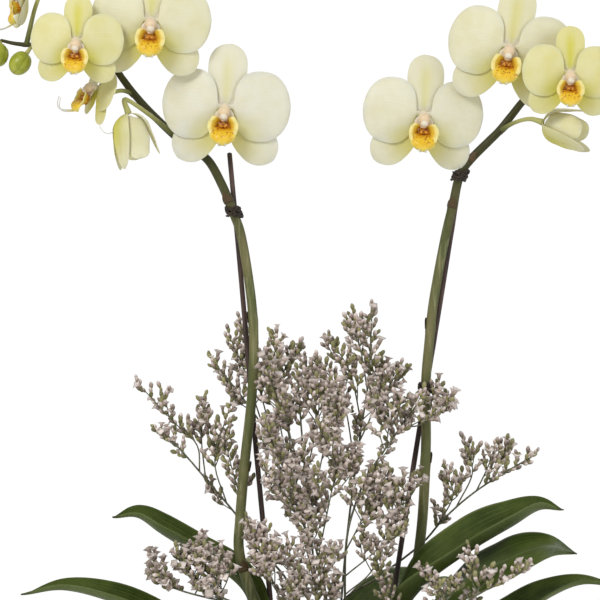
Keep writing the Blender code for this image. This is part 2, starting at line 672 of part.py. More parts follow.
def make_lip(name, size, curl, parts, material):
    """The lip with its raised side lobes and pointed middle lobe, and the column above it."""
    scale = size**LIP_GROWTH * min(1, LIP_FREE_CURL / max(curl, 1))
    front = (LAYER_STEP + 2 * SEPAL_THICKNESS + max(0, curl) * (LIP_STAND_OFF * scale) ** 2) / scale
    bm = bmesh.new()
    rows = []
    for i in range(LIP_ROWS + 1):
        v = i / LIP_ROWS
        width = LIP_SIDE_WIDTH * bump(v, 0.30, 0.20) + LIP_MIDDLE_WIDTH * bump(v, 0.74, 0.17)
        width += SEPAL_THICKNESS
        reach = front + 0.0010 + LIP_DEPTH * math.sin(math.pi * (0.15 + 0.75 * v))
        height = -0.0030 - LIP_LENGTH * v
        row = []
        for k in (-1, -0.5, 0, 0.5, 1):
            raised = bump(v, 0.26, 0.20) * k * k
            row.append(bm.verts.new((width * k, -reach - 0.0050 * raised, height + 0.0035 * raised)))
        rows.append(row)
    for row, after in zip(rows, rows[1:]):
        for j in range(4):
            bm.faces.new((row[j], row[j + 1], after[j + 1], after[j]))
    sheet = settle(solidified(from_bmesh(name, bm, parts), SEPAL_THICKNESS * 1.25, 0))
    route = [Vector((0, -front - 0.0062 * t, -0.0014 - 0.0034 * t * t)) for t in (0, 0.35, 0.7, 1)]
    radii = [COLUMN_RADIUS * r for r in (0.9, 1.0, 1.0, 0.8)]
    column = tube(name + "_column", route, radii, parts, 2)
    lip = united([sheet, column])
    lip.data.transform(Matrix.Scale(scale, 4))
    lip.data.materials.clear()
    lip.data.materials.append(material)
    return lip


def make_flower(name, hub, turn, nod, roll, size, curl, colour, parts, lip_material):
    petal_material = new_material(f"petal_{name}", colour, PETAL_ROUGHNESS)
    layers = (
        whorl(f"flower_{name}_sepals", SEPALS, SEPAL_ROWS, size, curl, 0, parts, petal_material),
        whorl(f"flower_{name}_petals", PETALS, PETAL_ROWS, size, curl, LAYER_STEP, parts, petal_material),
        make_lip(f"flower_{name}_lip", size, curl, parts, lip_material),
    )
    for layer in layers:
        layer.location = hub
        layer.rotation_euler = (math.radians(nod), math.radians(roll), math.radians(turn))


# ---------------------------------------------------------------- stakes, ties and sea lavender


def make_stake(side, parts, material):
    foot, top = (Vector(p) for p in STAKES[side])
    stake = tube(f"stake_{side}", [foot, top], [STAKE_RADIUS] * 2, parts, 2)
    stake.data.materials.append(material)


def make_tie(name, side, height, parts, material):
    """A ring of wire round one spike and its stake."""
    route = smooth_route(SPIKES[side], 6)
    spike = min(route, key=lambda p: abs(p.z - height))
    foot, top = (Vector(p) for p in STAKES[side])
    stake = foot.lerp(top, (height - foot.z) / (top.z - foot.z))
    centre = (spike + stake) / 2
    lean = math.atan2(stake.x - spike.x, stake.y - spike.y)
    ring = []
    for i in range(TIE_POINTS):
        angle = 2 * math.pi * i / TIE_POINTS
        across, depth = TIE_HALF_WIDTH * math.cos(angle), TIE_HALF_DEPTH * math.sin(angle)
        ring.append(
            Vector((
                centre.x + across * math.cos(lean) + depth * math.sin(lean),
                centre.y + depth * math.cos(lean) - across * math.sin(lean),
                height,
            ))
        )
    tie = tube(name, ring, [TIE_WIRE] * TIE_POINTS, parts, 1, cyclic=True)
    tie.data.materials.append(material)


def spray_stem(foot, main):
    """The main stem stands upright in the medium before it leans out."""
    x, y = foot
    return smooth_route([(x, y, SPRAY_FOOT_Z), (x, y, MEDIUM_TOP + 0.006), *main], 2)


def make_spray(name, foot, main, branches, parts, material):
    stem = spray_stem(foot, main)
    pieces = [tube(name, stem, tapered(len(stem), SPRAY_STEM_RADIUS, SPRAY_BRANCH_RADIUS), parts, 0)]
    for number, (start, points) in enumerate(branches):
        route = smooth_route([at_fraction(stem, start), *points], 2)
        radii = tapered(len(route), SPRAY_BRANCH_RADIUS * 1.1, SPRAY_BRANCH_RADIUS * 0.8)
        pieces.append(tube(f"{name}_branch_{number}", route, radii, parts, 0))
    spray = united(pieces)
    spray.data.materials.clear()
    spray.data.materials.append(material)


def main():
    clear_scene()
    parts = new_collection(OBJECT_NAME)
    cutters = new_collection("cutters")
    finish = {name: new_material(name, *look) for name, look in MATERIALS.items()}

    make_vase(parts, finish["glaze_white"])
    holes = []
    for foot, top in STAKES.values():
        axis = (Vector(top) - Vector(foot)).normalized()
        depth = (MEDIUM_TOP + MEDIUM_HOLE_RISE - foot[2]) / axis.z
        holes.append(((Vector(top), Vector(foot)), STAKE_RADIUS + GAP * 1.6, depth))
    for (x, y), _main, _branches in SPRAYS.values():
        low = Vector((x, y, SPRAY_FOOT_Z))
        depth = MEDIUM_TOP + MEDIUM_HOLE_RISE - SPRAY_FOOT_Z
        holes.append(((low + UP, low), SPRAY_STEM_RADIUS + GAP * 2, depth))
    make_medium(parts, cutters, finish["bark"], holes)

    for side in CROWN_PLACES:
        make_crown(side, parts, finish["stem_green"])
        make_spike(side, parts, finish["stem_green"])
        make_stake(side, parts, finish["stake_brown"])
    for name, (_side, route, half_width, near_rise, far_rise) in LEAVES.items():
        make_leaf(name, route, half_width, near_rise, far_rise, parts, finish["leaf_green"])
    for name, (side, height) in TIES.items():
        make_tie(name, side, height, parts, finish["tie_brown"])
    for name, (_side, hub, turn, nod, roll, size, curl, _leaves_at, colour) in FLOWERS.items():
        make_flower(name, hub, turn, nod, roll, size, curl, colour, parts, finish["lip_gold"])
    for name, (side, centre, leaves_at, size) in BUDS.items():
        route = [Vector(p) for p in SPIKES[side]]
        start = at_fraction(route, leaves_at / (len(route) - 1))
        make_bud(name, centre, size, start, parts, finish["bud_green"])
    for name, (foot, stem, branches) in SPRAYS.items():
        make_spray(name, foot, stem, branches, parts, finish["lavender_stem"])


main()
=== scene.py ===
import random
from math import atan2, copysign, cos, exp, hypot, pi, radians, sin, sqrt

import bmesh
import bpy
import numpy as np
from mathutils import Euler, Matrix, Vector


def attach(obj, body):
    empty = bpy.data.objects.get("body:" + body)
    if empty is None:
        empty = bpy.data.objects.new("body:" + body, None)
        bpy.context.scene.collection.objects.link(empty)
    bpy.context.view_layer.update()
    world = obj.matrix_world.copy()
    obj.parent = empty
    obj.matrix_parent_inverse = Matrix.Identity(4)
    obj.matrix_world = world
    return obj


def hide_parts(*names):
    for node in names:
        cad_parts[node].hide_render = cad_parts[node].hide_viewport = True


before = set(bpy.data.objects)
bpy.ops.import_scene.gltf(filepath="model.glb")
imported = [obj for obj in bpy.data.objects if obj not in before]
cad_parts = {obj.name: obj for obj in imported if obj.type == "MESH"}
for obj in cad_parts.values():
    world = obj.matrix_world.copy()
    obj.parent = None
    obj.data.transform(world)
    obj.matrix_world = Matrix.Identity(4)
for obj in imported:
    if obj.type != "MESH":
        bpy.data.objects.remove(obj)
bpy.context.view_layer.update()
rng = random.Random(41)
UP = Vector((0, 0, 1))

# ---- sizes and places, in metres

VASE_HEIGHT = 0.160
VASE_FOOT_RADIUS = 0.052
VASE_MOUTH_RADIUS = 0.080
VASE_WALL = 0.005
VASE_FLOOR = 0.008
MEDIUM_TOP = 0.145
CROWN_RADIUS = 0.009
CROWN_TOP = 0.186
LEAF_NECK = 0.30
LEAF_SHOULDER = 0.37
LEAF_TAPER = 0.50
LEAF_POINT = 1.15
CROWN_PLACES = {"left": (-0.030, 0.004), "right": (0.033, 0.004)}
SPIKE_RADIUS = 0.0029
SPIKE_TIP_RADIUS = 0.0010
SPIKE_FOOT_SWELL = 0.0007
PEDICEL_RADIUS = 0.0015
BUD_RADIUS = 0.0071
BUD_STRETCH = 1.12
STAKE_RADIUS = 0.0018
STAKE_FOOT_Z = 0.1
TIE_HALF_WIDTH = 0.0054
TIE_HALF_DEPTH = 0.0085
SEPAL_THICKNESS = 0.0008
LAYER_STEP = 0.0016
GREATEST_BEND = 1.45
LIP_STAND_OFF = 0.012
LIP_FREE_CURL = 12.5
LIP_GROWTH = 0.35
HUB_RADIUS = 0.0026
SPRAY_STEM_RADIUS = 0.0009
SPRAY_BRANCH_RADIUS = 0.00055
SPRAY_FOOT_Z = 0.122

BLADE_THICKNESS = 0.0018
PETAL_THICKNESS = 0.0006
SPIKE_NODES = (0.10, 0.21, 0.33, 0.45)
SIDE_TURN = 50
DROOPING_NOD = 60
LONG_TENDRIL = 0.013
SHORT_TENDRIL = 0.0025
BARK_CHIPS = 420
ROOTS_PER_CROWN = 6
ROOT_REACH = 0.060
FLORET_STEP = 0.0013
GREEN_BUD_SHARE = 0.35

CAMERA_DISTANCE = 2.5
VIEW_CENTRE = (-0.0165, 0.401)
VIEW_WIDTH = 0.396
SENSOR = 36

# Midrib from the crown to the tip, half the width, and how far the halves towards -Y and +Y rise.
LEAVES = {
    "leaf_left_upper": (
        ((-0.042, 0.009, 0.176), (-0.05, 0.012, 0.205), (-0.066, 0.013, 0.2215), (-0.085, 0.011, 0.233),
         (-0.108, 0.006, 0.248), (-0.124, 0.004, 0.2588), (-0.1405, 0.002, 0.2575)),
        0.017, 16, 56,
    ),
    "leaf_left_lower": (
        ((-0.043, -0.002, 0.16), (-0.062, -0.005, 0.1665), (-0.0877, -0.012, 0.1781),
         (-0.1108, -0.018, 0.192), (-0.1398, -0.022, 0.2052), (-0.1715, -0.024, 0.213),
         (-0.199, -0.024, 0.2085)),
        0.0165, 18, 50,
    ),
    "leaf_left_back": (
        ((-0.043, 0.013, 0.151), (-0.056, 0.037, 0.167), (-0.068, 0.064, 0.178), (-0.078, 0.092, 0.179),
         (-0.084, 0.112, 0.171)),
        0.026, 24, 24,
    ),
    "leaf_left_front": (
        ((-0.03, -0.009, 0.152), (-0.038, -0.034, 0.166), (-0.048, -0.062, 0.173), (-0.057, -0.09, 0.169),
         (-0.062, -0.108, 0.16)),
        0.027, 24, 24,
    ),
    "leaf_right_upper": (
        ((0.045, -0.003, 0.176), (0.053, -0.01, 0.2), (0.07, -0.016, 0.22), (0.0975, -0.016, 0.2396),
         (0.1215, -0.014, 0.2536), (0.1405, -0.012, 0.2646), (0.157, -0.012, 0.2634)),
        0.0215, 22, 60,
    ),
    "leaf_right_middle": (
        ((0.044, -0.004, 0.158), (0.062, -0.018, 0.189), (0.0867, -0.032, 0.2159), (0.1108, -0.041, 0.2294),
         (0.1303, -0.046, 0.2385), (0.1467, -0.049, 0.2418), (0.1627, -0.05, 0.237)),
        0.031, -26, 26,
    ),
    "leaf_right_lower": (
        ((0.046, 0.005, 0.152), (0.064, 0.005, 0.161), (0.094, 0.01, 0.176), (0.125, 0.016, 0.1905),
         (0.148, 0.02, 0.205), (0.172, 0.022, 0.2135), (0.199, 0.022, 0.21)),
        0.019, 8, 36,
    ),
    "leaf_right_back": (
        ((0.024, 0.016, 0.154), (0.027, 0.036, 0.174), (0.04, 0.059, 0.192), (0.058, 0.081, 0.204),
         (0.077, 0.101, 0.207), (0.09, 0.114, 0.2)),
        0.025, 20, 36,
    ),
    "leaf_right_front": (
        ((0.031, -0.009, 0.153), (0.028, -0.034, 0.168), (0.024, -0.064, 0.176), (0.021, -0.092, 0.172),
         (0.019, -0.11, 0.163)),
        0.026, 24, 24,
    ),
}

SPIKES = {
    "left": (
        (-0.0345, -0.008, 0.169), (-0.042, -0.011, 0.193), (-0.051, -0.011, 0.216),
        (-0.0565, -0.008, 0.236), (-0.056, -0.003, 0.256), (-0.0528, 0.003, 0.295),
        (-0.0485, 0.0052, 0.335), (-0.047, 0.0046, 0.368), (-0.0485, 0.0036, 0.4),
        (-0.0548, 0.002, 0.441), (-0.0607, 0.0012, 0.4591), (-0.068, 0.0004, 0.477),
        (-0.077, -0.0002, 0.493), (-0.088, -0.0004, 0.501), (-0.0983, -0.0004, 0.5086),
        (-0.1155, -0.0004, 0.5251), (-0.1261, -0.0004, 0.537), (-0.134, -0.0004, 0.5475),
        (-0.1425, -0.0004, 0.559), (-0.155, -0.0004, 0.5672), (-0.174, -0.0004, 0.5703),
        (-0.193, -0.0004, 0.5694), (-0.2045, -0.0004, 0.5702), (-0.214, -0.0004, 0.5724),
    ),
    "right": (
        (0.0412, 0.0135, 0.17), (0.05, 0.011, 0.192), (0.059, 0.007, 0.216),
        (0.0632, 0.006, 0.243), (0.0655, 0.0066, 0.27), (0.067, 0.0076, 0.308),
        (0.0667, 0.0074, 0.343), (0.0692, 0.0064, 0.375), (0.072, 0.005, 0.401),
        (0.0792, 0.003, 0.441), (0.0845, 0.0015, 0.464), (0.0891, 0.0003, 0.4835),
        (0.096, -0.0002, 0.4936), (0.1076, -0.0004, 0.5053), (0.1148, -0.0004, 0.5125),
        (0.1228, -0.0004, 0.5224), (0.1313, -0.0004, 0.533), (0.1406, -0.0004, 0.5416),
        (0.1525, -0.0004, 0.5488), (0.167, -0.0004, 0.5541), (0.1789, -0.0004, 0.5581),
        (0.1894, -0.0004, 0.5614), (0.2013, -0.0004, 0.564),
    ),
}
STAKES = {
    "left": ((-0.027, 0.02, STAKE_FOOT_Z), (-0.0632, 0.0064, 0.498)),
    "right": ((0.029, 0.024, STAKE_FOOT_Z), (0.0904, 0.0058, 0.489)),
}
TIES = {
    "tie_left": ("left", 0.4591),
    "tie_right_upper": ("right", 0.483),
    "tie_right_lower": ("right", 0.343),
}

# Hub, turn to the side, nod and roll in degrees, size, forward curl, the number of the spike's
# point where the stalk leaves, and how yellow the flower is.
FLOWERS = {
    "left_1": ("left", (-0.0652, -0.02, 0.5274), -4, 4, 3, 0.98, -3.5, 12.6, 0.05),
    "left_2": ("left", (-0.1135, -0.034, 0.5832), 2, 2, 3, 0.91, -3.5, 17.6, 0.35),
    "left_3": ("left", (-0.1612, -0.043, 0.5695), -3, 2, 2, 0.7, -3.5, 19, 0.75),
    "left_4": ("left", (-0.1965, -0.005, 0.605), -80, 8, 0, 0.62, 12, 21.3, 0.45),
    "left_5": ("left", (-0.148, -0.011, 0.5405), -68, -18, 18, 0.55, -4, 16, 0.8),
    "left_6": ("left", (-0.129, -0.016, 0.523), 100, 78, 0, 0.85, 44, 14, 0.45),
    "right_1": ("right", (0.0646, -0.015, 0.523), 4, 4, 4, 0.92, -3.5, 12, 0.15),
    "right_2": ("right", (0.1206, -0.03, 0.566), -4, 2, 10, 0.95, -3.5, 16.3, 0.3),
    "right_3": ("right", (0.1584, -0.044, 0.5486), 2, 2, 2, 0.71, -3.5, 19, 0.8),
    "right_4": ("right", (0.1431, -0.018, 0.5174), 75, 14, 0, 0.8, 45, 14, 0.5),
}
# Each lobe's angle in degrees, its length, half its width, how far out it is widest, the share of
# its length that is a narrow claw, and how pointed its end is
SEPALS = (
    (90, 0.043, 0.0134, 1.4, 0, 0.5),
    (228, 0.049, 0.0138, 1.5, 0, 0.62),
    (312, 0.049, 0.0138, 1.5, 0, 0.62),
)
PETALS = ((3, 0.0435, 0.0236, 0.92, 0.1, 0.5), (177, 0.0435, 0.0236, 0.92, 0.1, 0.5))
BUDS = {
    "left_1": ("left", (-0.201, -0.003, 0.5572), 21, 1),
    "left_2": ("left", (-0.2155, -0.002, 0.5628), 23, 0.97),
}

# Foot in the medium, main stem, and branches: how far up the stem each starts, and its points.
SPRAYS = {
    "spray_far_left": (
        (-0.01, 0.034),
        ((-0.012, 0.034, 0.18), (-0.024, 0.03, 0.212), (-0.042, 0.026, 0.234), (-0.059, 0.022, 0.258),
         (-0.074, 0.018, 0.276), (-0.097, 0.012, 0.303), (-0.11, 0.01, 0.313)),
        ((0.8, ((-0.085, 0.013, 0.305), (-0.1, 0.01, 0.32), (-0.122, 0.006, 0.344))),
         (0.78, ((-0.082, 0.02, 0.309), (-0.08, 0.022, 0.332))),
         (0.68, ((-0.073, 0.012, 0.295), (-0.063, 0.01, 0.33))),
         (0.52, ((-0.058, 0.016, 0.276), (-0.066, 0.014, 0.306)))),
    ),
    "spray_left": (
        (0.002, 0.026),
        ((0.001, 0.024, 0.203), (-0.012, 0.022, 0.256), (-0.029, 0.021, 0.297), (-0.051, 0.021, 0.331),
         (-0.074, 0.016, 0.36)),
        ((0.62, ((-0.034, 0.015, 0.345), (-0.032, 0.012, 0.376))),
         (0.76, ((-0.054, 0.022, 0.355), (-0.063, 0.018, 0.376))),
         (0.7, ((-0.046, 0.025, 0.35), (-0.056, 0.024, 0.384))),
         (0.56, ((-0.028, 0.022, 0.345), (-0.018, 0.02, 0.368)))),
    ),
    "spray_centre_left": (
        (-0.006, -0.002),
        ((-0.006, -0.002, 0.203), (-0.01, -0.004, 0.256), (-0.015, -0.006, 0.309), (-0.018, -0.006, 0.35)),
        ((0.64, ((-0.026, -0.01, 0.322), (-0.037, -0.012, 0.352))),
         (0.7, ((-0.004, -0.002, 0.33), (-0.008, 0, 0.354))),
         (0.6, ((0, -0.01, 0.306), (0.008, -0.012, 0.325))),
         (0.52, ((-0.026, -0.004, 0.286), (-0.036, -0.006, 0.308))),
         (0.45, ((-0.02, -0.014, 0.262), (-0.032, -0.018, 0.282))),
         (0.46, ((0.004, -0.012, 0.274), (0.01, -0.014, 0.296)))),
    ),
    "spray_centre_right": (
        (0.008, 0.012),
        ((0.011, 0.012, 0.203), (0.016, 0.01, 0.256), (0.023, 0.008, 0.309), (0.029, 0.008, 0.35),
         (0.031, 0.006, 0.393)),
        ((0.6, ((0.012, 0.004, 0.335), (-0.003, 0.002, 0.359))),
         (0.7, ((0.017, 0.012, 0.352), (0.005, 0.014, 0.373))),
         (0.8, ((0.023, 0.004, 0.37), (0.016, 0, 0.384))),
         (0.66, ((0.038, 0.01, 0.338), (0.052, 0.012, 0.352))),
         (0.76, ((0.038, 0.012, 0.345), (0.038, 0.014, 0.358)))),
    ),
    "spray_right": (
        (0.014, -0.014),
        ((0.013, -0.014, 0.203), (0.014, -0.013, 0.243), (0.021, -0.012, 0.27), (0.03, -0.01, 0.289),
         (0.046, -0.008, 0.312), (0.055, -0.006, 0.326)),
        ((0.8, ((0.042, -0.012, 0.32), (0.041, -0.014, 0.335))),
         (0.92, ((0.06, -0.006, 0.318), (0.072, -0.004, 0.324), (0.082, -0.002, 0.334))),
         (0.3, ((0.032, -0.018, 0.226), (0.042, -0.018, 0.262), (0.038, -0.018, 0.291))),
         (0.34, ((0.036, -0.022, 0.24), (0.05, -0.022, 0.262), (0.051, -0.022, 0.281))),
         (0.4, ((0.026, -0.016, 0.262), (0.03, -0.02, 0.286)))),
    ),
    "spray_far_right": (
        (0.006, 0.036),
        ((0.01, 0.035, 0.196), (0.036, 0.03, 0.216), (0.064, 0.025, 0.238), (0.078, 0.022, 0.254),
         (0.094, 0.018, 0.269), (0.112, 0.014, 0.282), (0.137, 0.01, 0.297)),
        ((0.58, ((0.085, 0.018, 0.27), (0.081, 0.016, 0.286))),
         (0.7, ((0.098, 0.016, 0.286), (0.093, 0.014, 0.304))),
         (0.8, ((0.108, 0.012, 0.29), (0.112, 0.01, 0.302))),
         (0.86, ((0.118, 0.014, 0.294), (0.12, 0.014, 0.303)))),
    ),
    "spray_low_left": (
        (-0.012, -0.026),
        ((-0.016, -0.028, 0.176), (-0.034, -0.032, 0.193), (-0.056, -0.034, 0.203), (-0.076, -0.034, 0.207),
         (-0.095, -0.032, 0.212), (-0.112, -0.03, 0.219)),
        ((0.78, ((-0.083, -0.032, 0.216), (-0.089, -0.032, 0.229))),
         (0.66, ((-0.068, -0.034, 0.215), (-0.073, -0.034, 0.226))),
         (0.34, ((-0.032, -0.028, 0.212), (-0.041, -0.026, 0.234), (-0.05, -0.022, 0.254))),
         (0.24, ((-0.018, -0.026, 0.21), (-0.024, -0.024, 0.24))),
         (0.16, ((-0.006, -0.026, 0.206), (0.002, -0.026, 0.236)))),
    ),
    "spray_low_right": (
        (0.054, -0.034),
        ((0.056, -0.04, 0.17), (0.064, -0.056, 0.188), (0.08, -0.076, 0.202), (0.102, -0.084, 0.216),
         (0.126, -0.084, 0.229)),
        ((0.6, ((0.076, -0.078, 0.212), (0.07, -0.078, 0.22))),
         (0.78, ((0.098, -0.084, 0.219), (0.096, -0.084, 0.228))),
         (0.1, ((0.046, -0.036, 0.196), (0.031, -0.034, 0.238)))),
    ),
}

# ---- camera, light and floor


def new_object(name, data):
    thing = bpy.data.objects.new(name, data)
    bpy.context.scene.collection.objects.link(thing)
    return thing


def make_camera():
    data = bpy.data.cameras.new("camera")
    data.sensor_width = SENSOR
    data.lens = SENSOR * CAMERA_DISTANCE / VIEW_WIDTH
    data.clip_end = 50
    camera = new_object("camera", data)
    camera.location = (VIEW_CENTRE[0], -CAMERA_DISTANCE, VIEW_CENTRE[1])
    camera.rotation_euler = (pi / 2, 0, 0)
    bpy.context.scene.camera = camera


def area_light(name, place, aim, size, power, colour=(1, 1, 1)):
    data = bpy.data.lights.new(name, "AREA")
    data.shape = "DISK"
    data.size = size
    data.energy = power
    data.color = colour
    light = new_object(name, data)
    light.location = place
    light.rotation_euler = (Vector(aim) - Vector(place)).to_track_quat("-Z", "Y").to_euler()


def make_light():
    world = bpy.data.worlds.new("studio")
    bpy.context.scene.world = world
    world.use_nodes = True
    tree = world.node_tree
    tree.nodes.clear()
    ray = tree.nodes.new("ShaderNodeLightPath")
    mix = tree.nodes.new("ShaderNodeMixShader")
    for number, colour, strength in ((1, (0.96, 0.98, 1.0, 1), 0.54), (2, (1, 1, 1, 1), 1.02)):
        glow = tree.nodes.new("ShaderNodeBackground")
        glow.inputs["Color"].default_value = colour
        glow.inputs["Strength"].default_value = strength
        tree.links.new(glow.outputs[0], mix.inputs[number])
    out = tree.nodes.new("ShaderNodeOutputWorld")
    tree.links.new(ray.outputs["Is Camera Ray"], mix.inputs[0])
    tree.links.new(mix.outputs[0], out.inputs[0])
    area_light("key", (-1.1, -1.9, 1.7), (0, 0, 0.38), 0.9, 29, (1.0, 0.985, 0.96))
    area_light("fill", (1.7, -1.4, 0.9), (0, 0, 0.38), 1.2, 10, (0.97, 0.985, 1.0))
    area_light("rim", (0.5, 1.8, 1.6), (0, 0, 0.40), 1.0, 13)
    bpy.context.scene.view_settings.view_transform = "Standard"


def make_floor():
    data = bpy.data.meshes.new("floor")
    count, radius = 96, 1.6
    angles = [2 * pi * k / count for k in range(count)]
    ring = [(radius * cos(angle), radius * sin(angle), -0.0004) for angle in angles]
    data.from_pydata(ring, [], [tuple(range(count))])
    floor = new_object("floor", data)
    paint = Paint("floor_paper", 0.9)
    paint.base(paint.mix(paint.noise(3, 3), (0.86, 0.86, 0.85), (0.89, 0.89, 0.88)))
    data.materials.append(paint.material)


# ---- procedural materials


class Paint:
    """One procedural material. Each method adds nodes and returns the socket that leaves them."""

    def __init__(self, name, roughness, **settings):
        self.material = bpy.data.materials.new(name)
        self.material.use_nodes = True
        self.tree = self.material.node_tree
        self.shader = self.tree.nodes["Principled BSDF"]
        self.shader.inputs["Roughness"].default_value = roughness
        for key, value in settings.items():
            self.put(value, self.shader.inputs[key.replace("_", " ")])
        self.place = self.add("TexCoord").outputs["Object"]
        grow = self.add("Attribute")
        grow.attribute_name = "grow"
        self.along, self.across, self.tag = self.add("SeparateXYZ", Vector=grow.outputs["Vector"]).outputs

    def add(self, kind, **inputs):
        """A new node with values or sockets on its inputs, whose names have _ for each space."""
        node = self.tree.nodes.new("ShaderNode" + kind)
        for key, value in inputs.items():
            self.put(value, node.inputs[key.replace("_", " ")])
        return node

    def put(self, value, socket):
        if isinstance(value, bpy.types.NodeSocket):
            self.tree.links.new(value, socket)
        elif socket.type == "RGBA":
            socket.default_value = (*value, 1)
        else:
            socket.default_value = value

    def math(self, operation, a, b=0.0):
        node = self.add("Math")
        node.operation = operation
        self.put(a, node.inputs[0])
        self.put(b, node.inputs[1])
        return node.outputs[0]

    def times(self, first, *others):
        for other in others:
            first = self.math("MULTIPLY", first, other)
        return first

    def span(self, value, low, high, first=0.0, last=1.0):
        """The value's way from low to high, smoothed and held at the ends."""
        node = self.add("MapRange", Value=value, From_Min=low, From_Max=high, To_Min=first, To_Max=last)
        node.interpolation_type = "SMOOTHSTEP"
        return node.outputs[0]

    def mix(self, factor, a, b):
        node = self.add("Mix")
        node.data_type = "RGBA"
        for value, number in ((factor, 0), (a, 6), (b, 7)):
            self.put(value, node.inputs[number])
        return node.outputs[2]

    def over(self, under, colour, *masks):
        """A colour laid over what is under it, where the masks multiplied together are 1."""
        return self.mix(self.times(*masks), under, colour)

    def stretch(self, scale):
        return self.add("Mapping", Scale=scale, Vector=self.place).outputs[0]

    def grown(self, along, across, tag=1.0):
        """Coordinates that run along and across the piece's own growth."""
        x, y, z = self.times(self.along, along), self.times(self.across, across), self.times(self.tag, tag)
        return self.add("CombineXYZ", X=x, Y=y, Z=z).outputs[0]

    def noise(self, scale, detail=4, coords=None):
        spots = self.add("TexNoise", Scale=scale, Detail=detail, Roughness=0.55, Vector=coords or self.place)
        return spots.outputs["Fac"]

    def cells(self, scale):
        return self.add("TexVoronoi", Scale=scale, Vector=self.place).outputs["Distance"]

    def base(self, colour):
        self.put(colour, self.shader.inputs["Base Color"])

    def rough(self, value):
        self.put(value, self.shader.inputs["Roughness"])

    def bump(self, height, distance, strength):
        node = self.add("Bump", Distance=distance, Strength=strength, Height=height)
        earlier = self.shader.inputs["Normal"]
        if earlier.is_linked:
            self.put(earlier.links[0].from_socket, node.inputs["Normal"])
        self.put(node.outputs[0], earlier)


def shade(first, second, amount):
    return tuple(a + (b - a) * amount for a, b in zip(first, second))


def petal_paint(name, yellow):
    """White to yellow petal: fine veins along it, greener towards the lip and down its middle, with painted
    shade greying its rims.

    The tag is 0 on a petal, 1 on the upper sepal and 2 on the two lower ones. The way across is
    positive on the lower side, where a lobe lies next to the lip.
    """
    paint = Paint(name, 0.55, Subsurface_Weight=0.2, Subsurface_Radius=(0.004, 0.003, 0.0015),
                  Subsurface_Scale=0.6, Sheen_Weight=0.05)
    pale = shade((0.725, 0.71, 0.605), (0.72, 0.665, 0.30), yellow)
    deep = shade((0.685, 0.655, 0.51), (0.67, 0.61, 0.19), yellow)
    painted_rim_shade = shade((0.60, 0.60, 0.545), (0.62, 0.60, 0.33), yellow)
    glow = shade((0.60, 0.55, 0.11), (0.58, 0.54, 0.025), yellow)
    span, along, across, tag = paint.span, paint.along, paint.across, paint.tag
    body = paint.mix(span(paint.noise(70, 3), 0.32, 0.72), pale, deep)
    veins = span(paint.noise(1.0, 4, paint.grown(2.2, 26.0, 7.0)), 0.46, 0.70)
    body = paint.over(body, deep, veins, 0.20)
    off_middle = paint.math("ABSOLUTE", across)
    # Painted shade: the rims and the tip of each lobe are greyed, as if shaded.
    rim = paint.math("MAXIMUM", span(off_middle, 0.80, 1.0), span(along, 0.88, 1.0))
    body = paint.over(body, painted_rim_shade, rim, 0.55)
    dorsal = paint.times(span(tag, 0.3, 0.9), span(tag, 1.1, 1.7, 1.0, 0.0))
    body = paint.over(body, deep, dorsal, 0.40 + 0.40 * yellow)
    stripe = paint.times(dorsal, span(off_middle, 0.0, 0.55, 1.0, 0.0), span(along, 1.0, 0.55))
    body = paint.over(body, glow, stripe, 0.32 + 0.62 * yellow)
    by_lip = paint.times(span(tag, 1.3, 1.9), span(along, 0.92, 0.34))
    body = paint.over(body, glow, by_lip, span(across, -0.75, 0.55), 0.78 + 0.2 * yellow)
    body = paint.over(body, glow, by_lip, 0.25)
    low_petal = paint.times(span(tag, 0.0, 0.6, 1.0, 0.0), span(along, 0.66, 0.22), span(across, 0.05, 0.85))
    body = paint.over(body, glow, low_petal, 0.62 + 0.30 * yellow)
    paint.base(paint.over(body, (0.80, 0.68, 0.50), span(along, 0.16, 0.02), 0.35))
    paint.bump(paint.noise(1.0, 2, paint.grown(1.4, 17.0, 7.0)), 0.0004, 0.35)
    paint.bump(paint.noise(1500, 2), 0.00012, 0.5)
    return paint.material


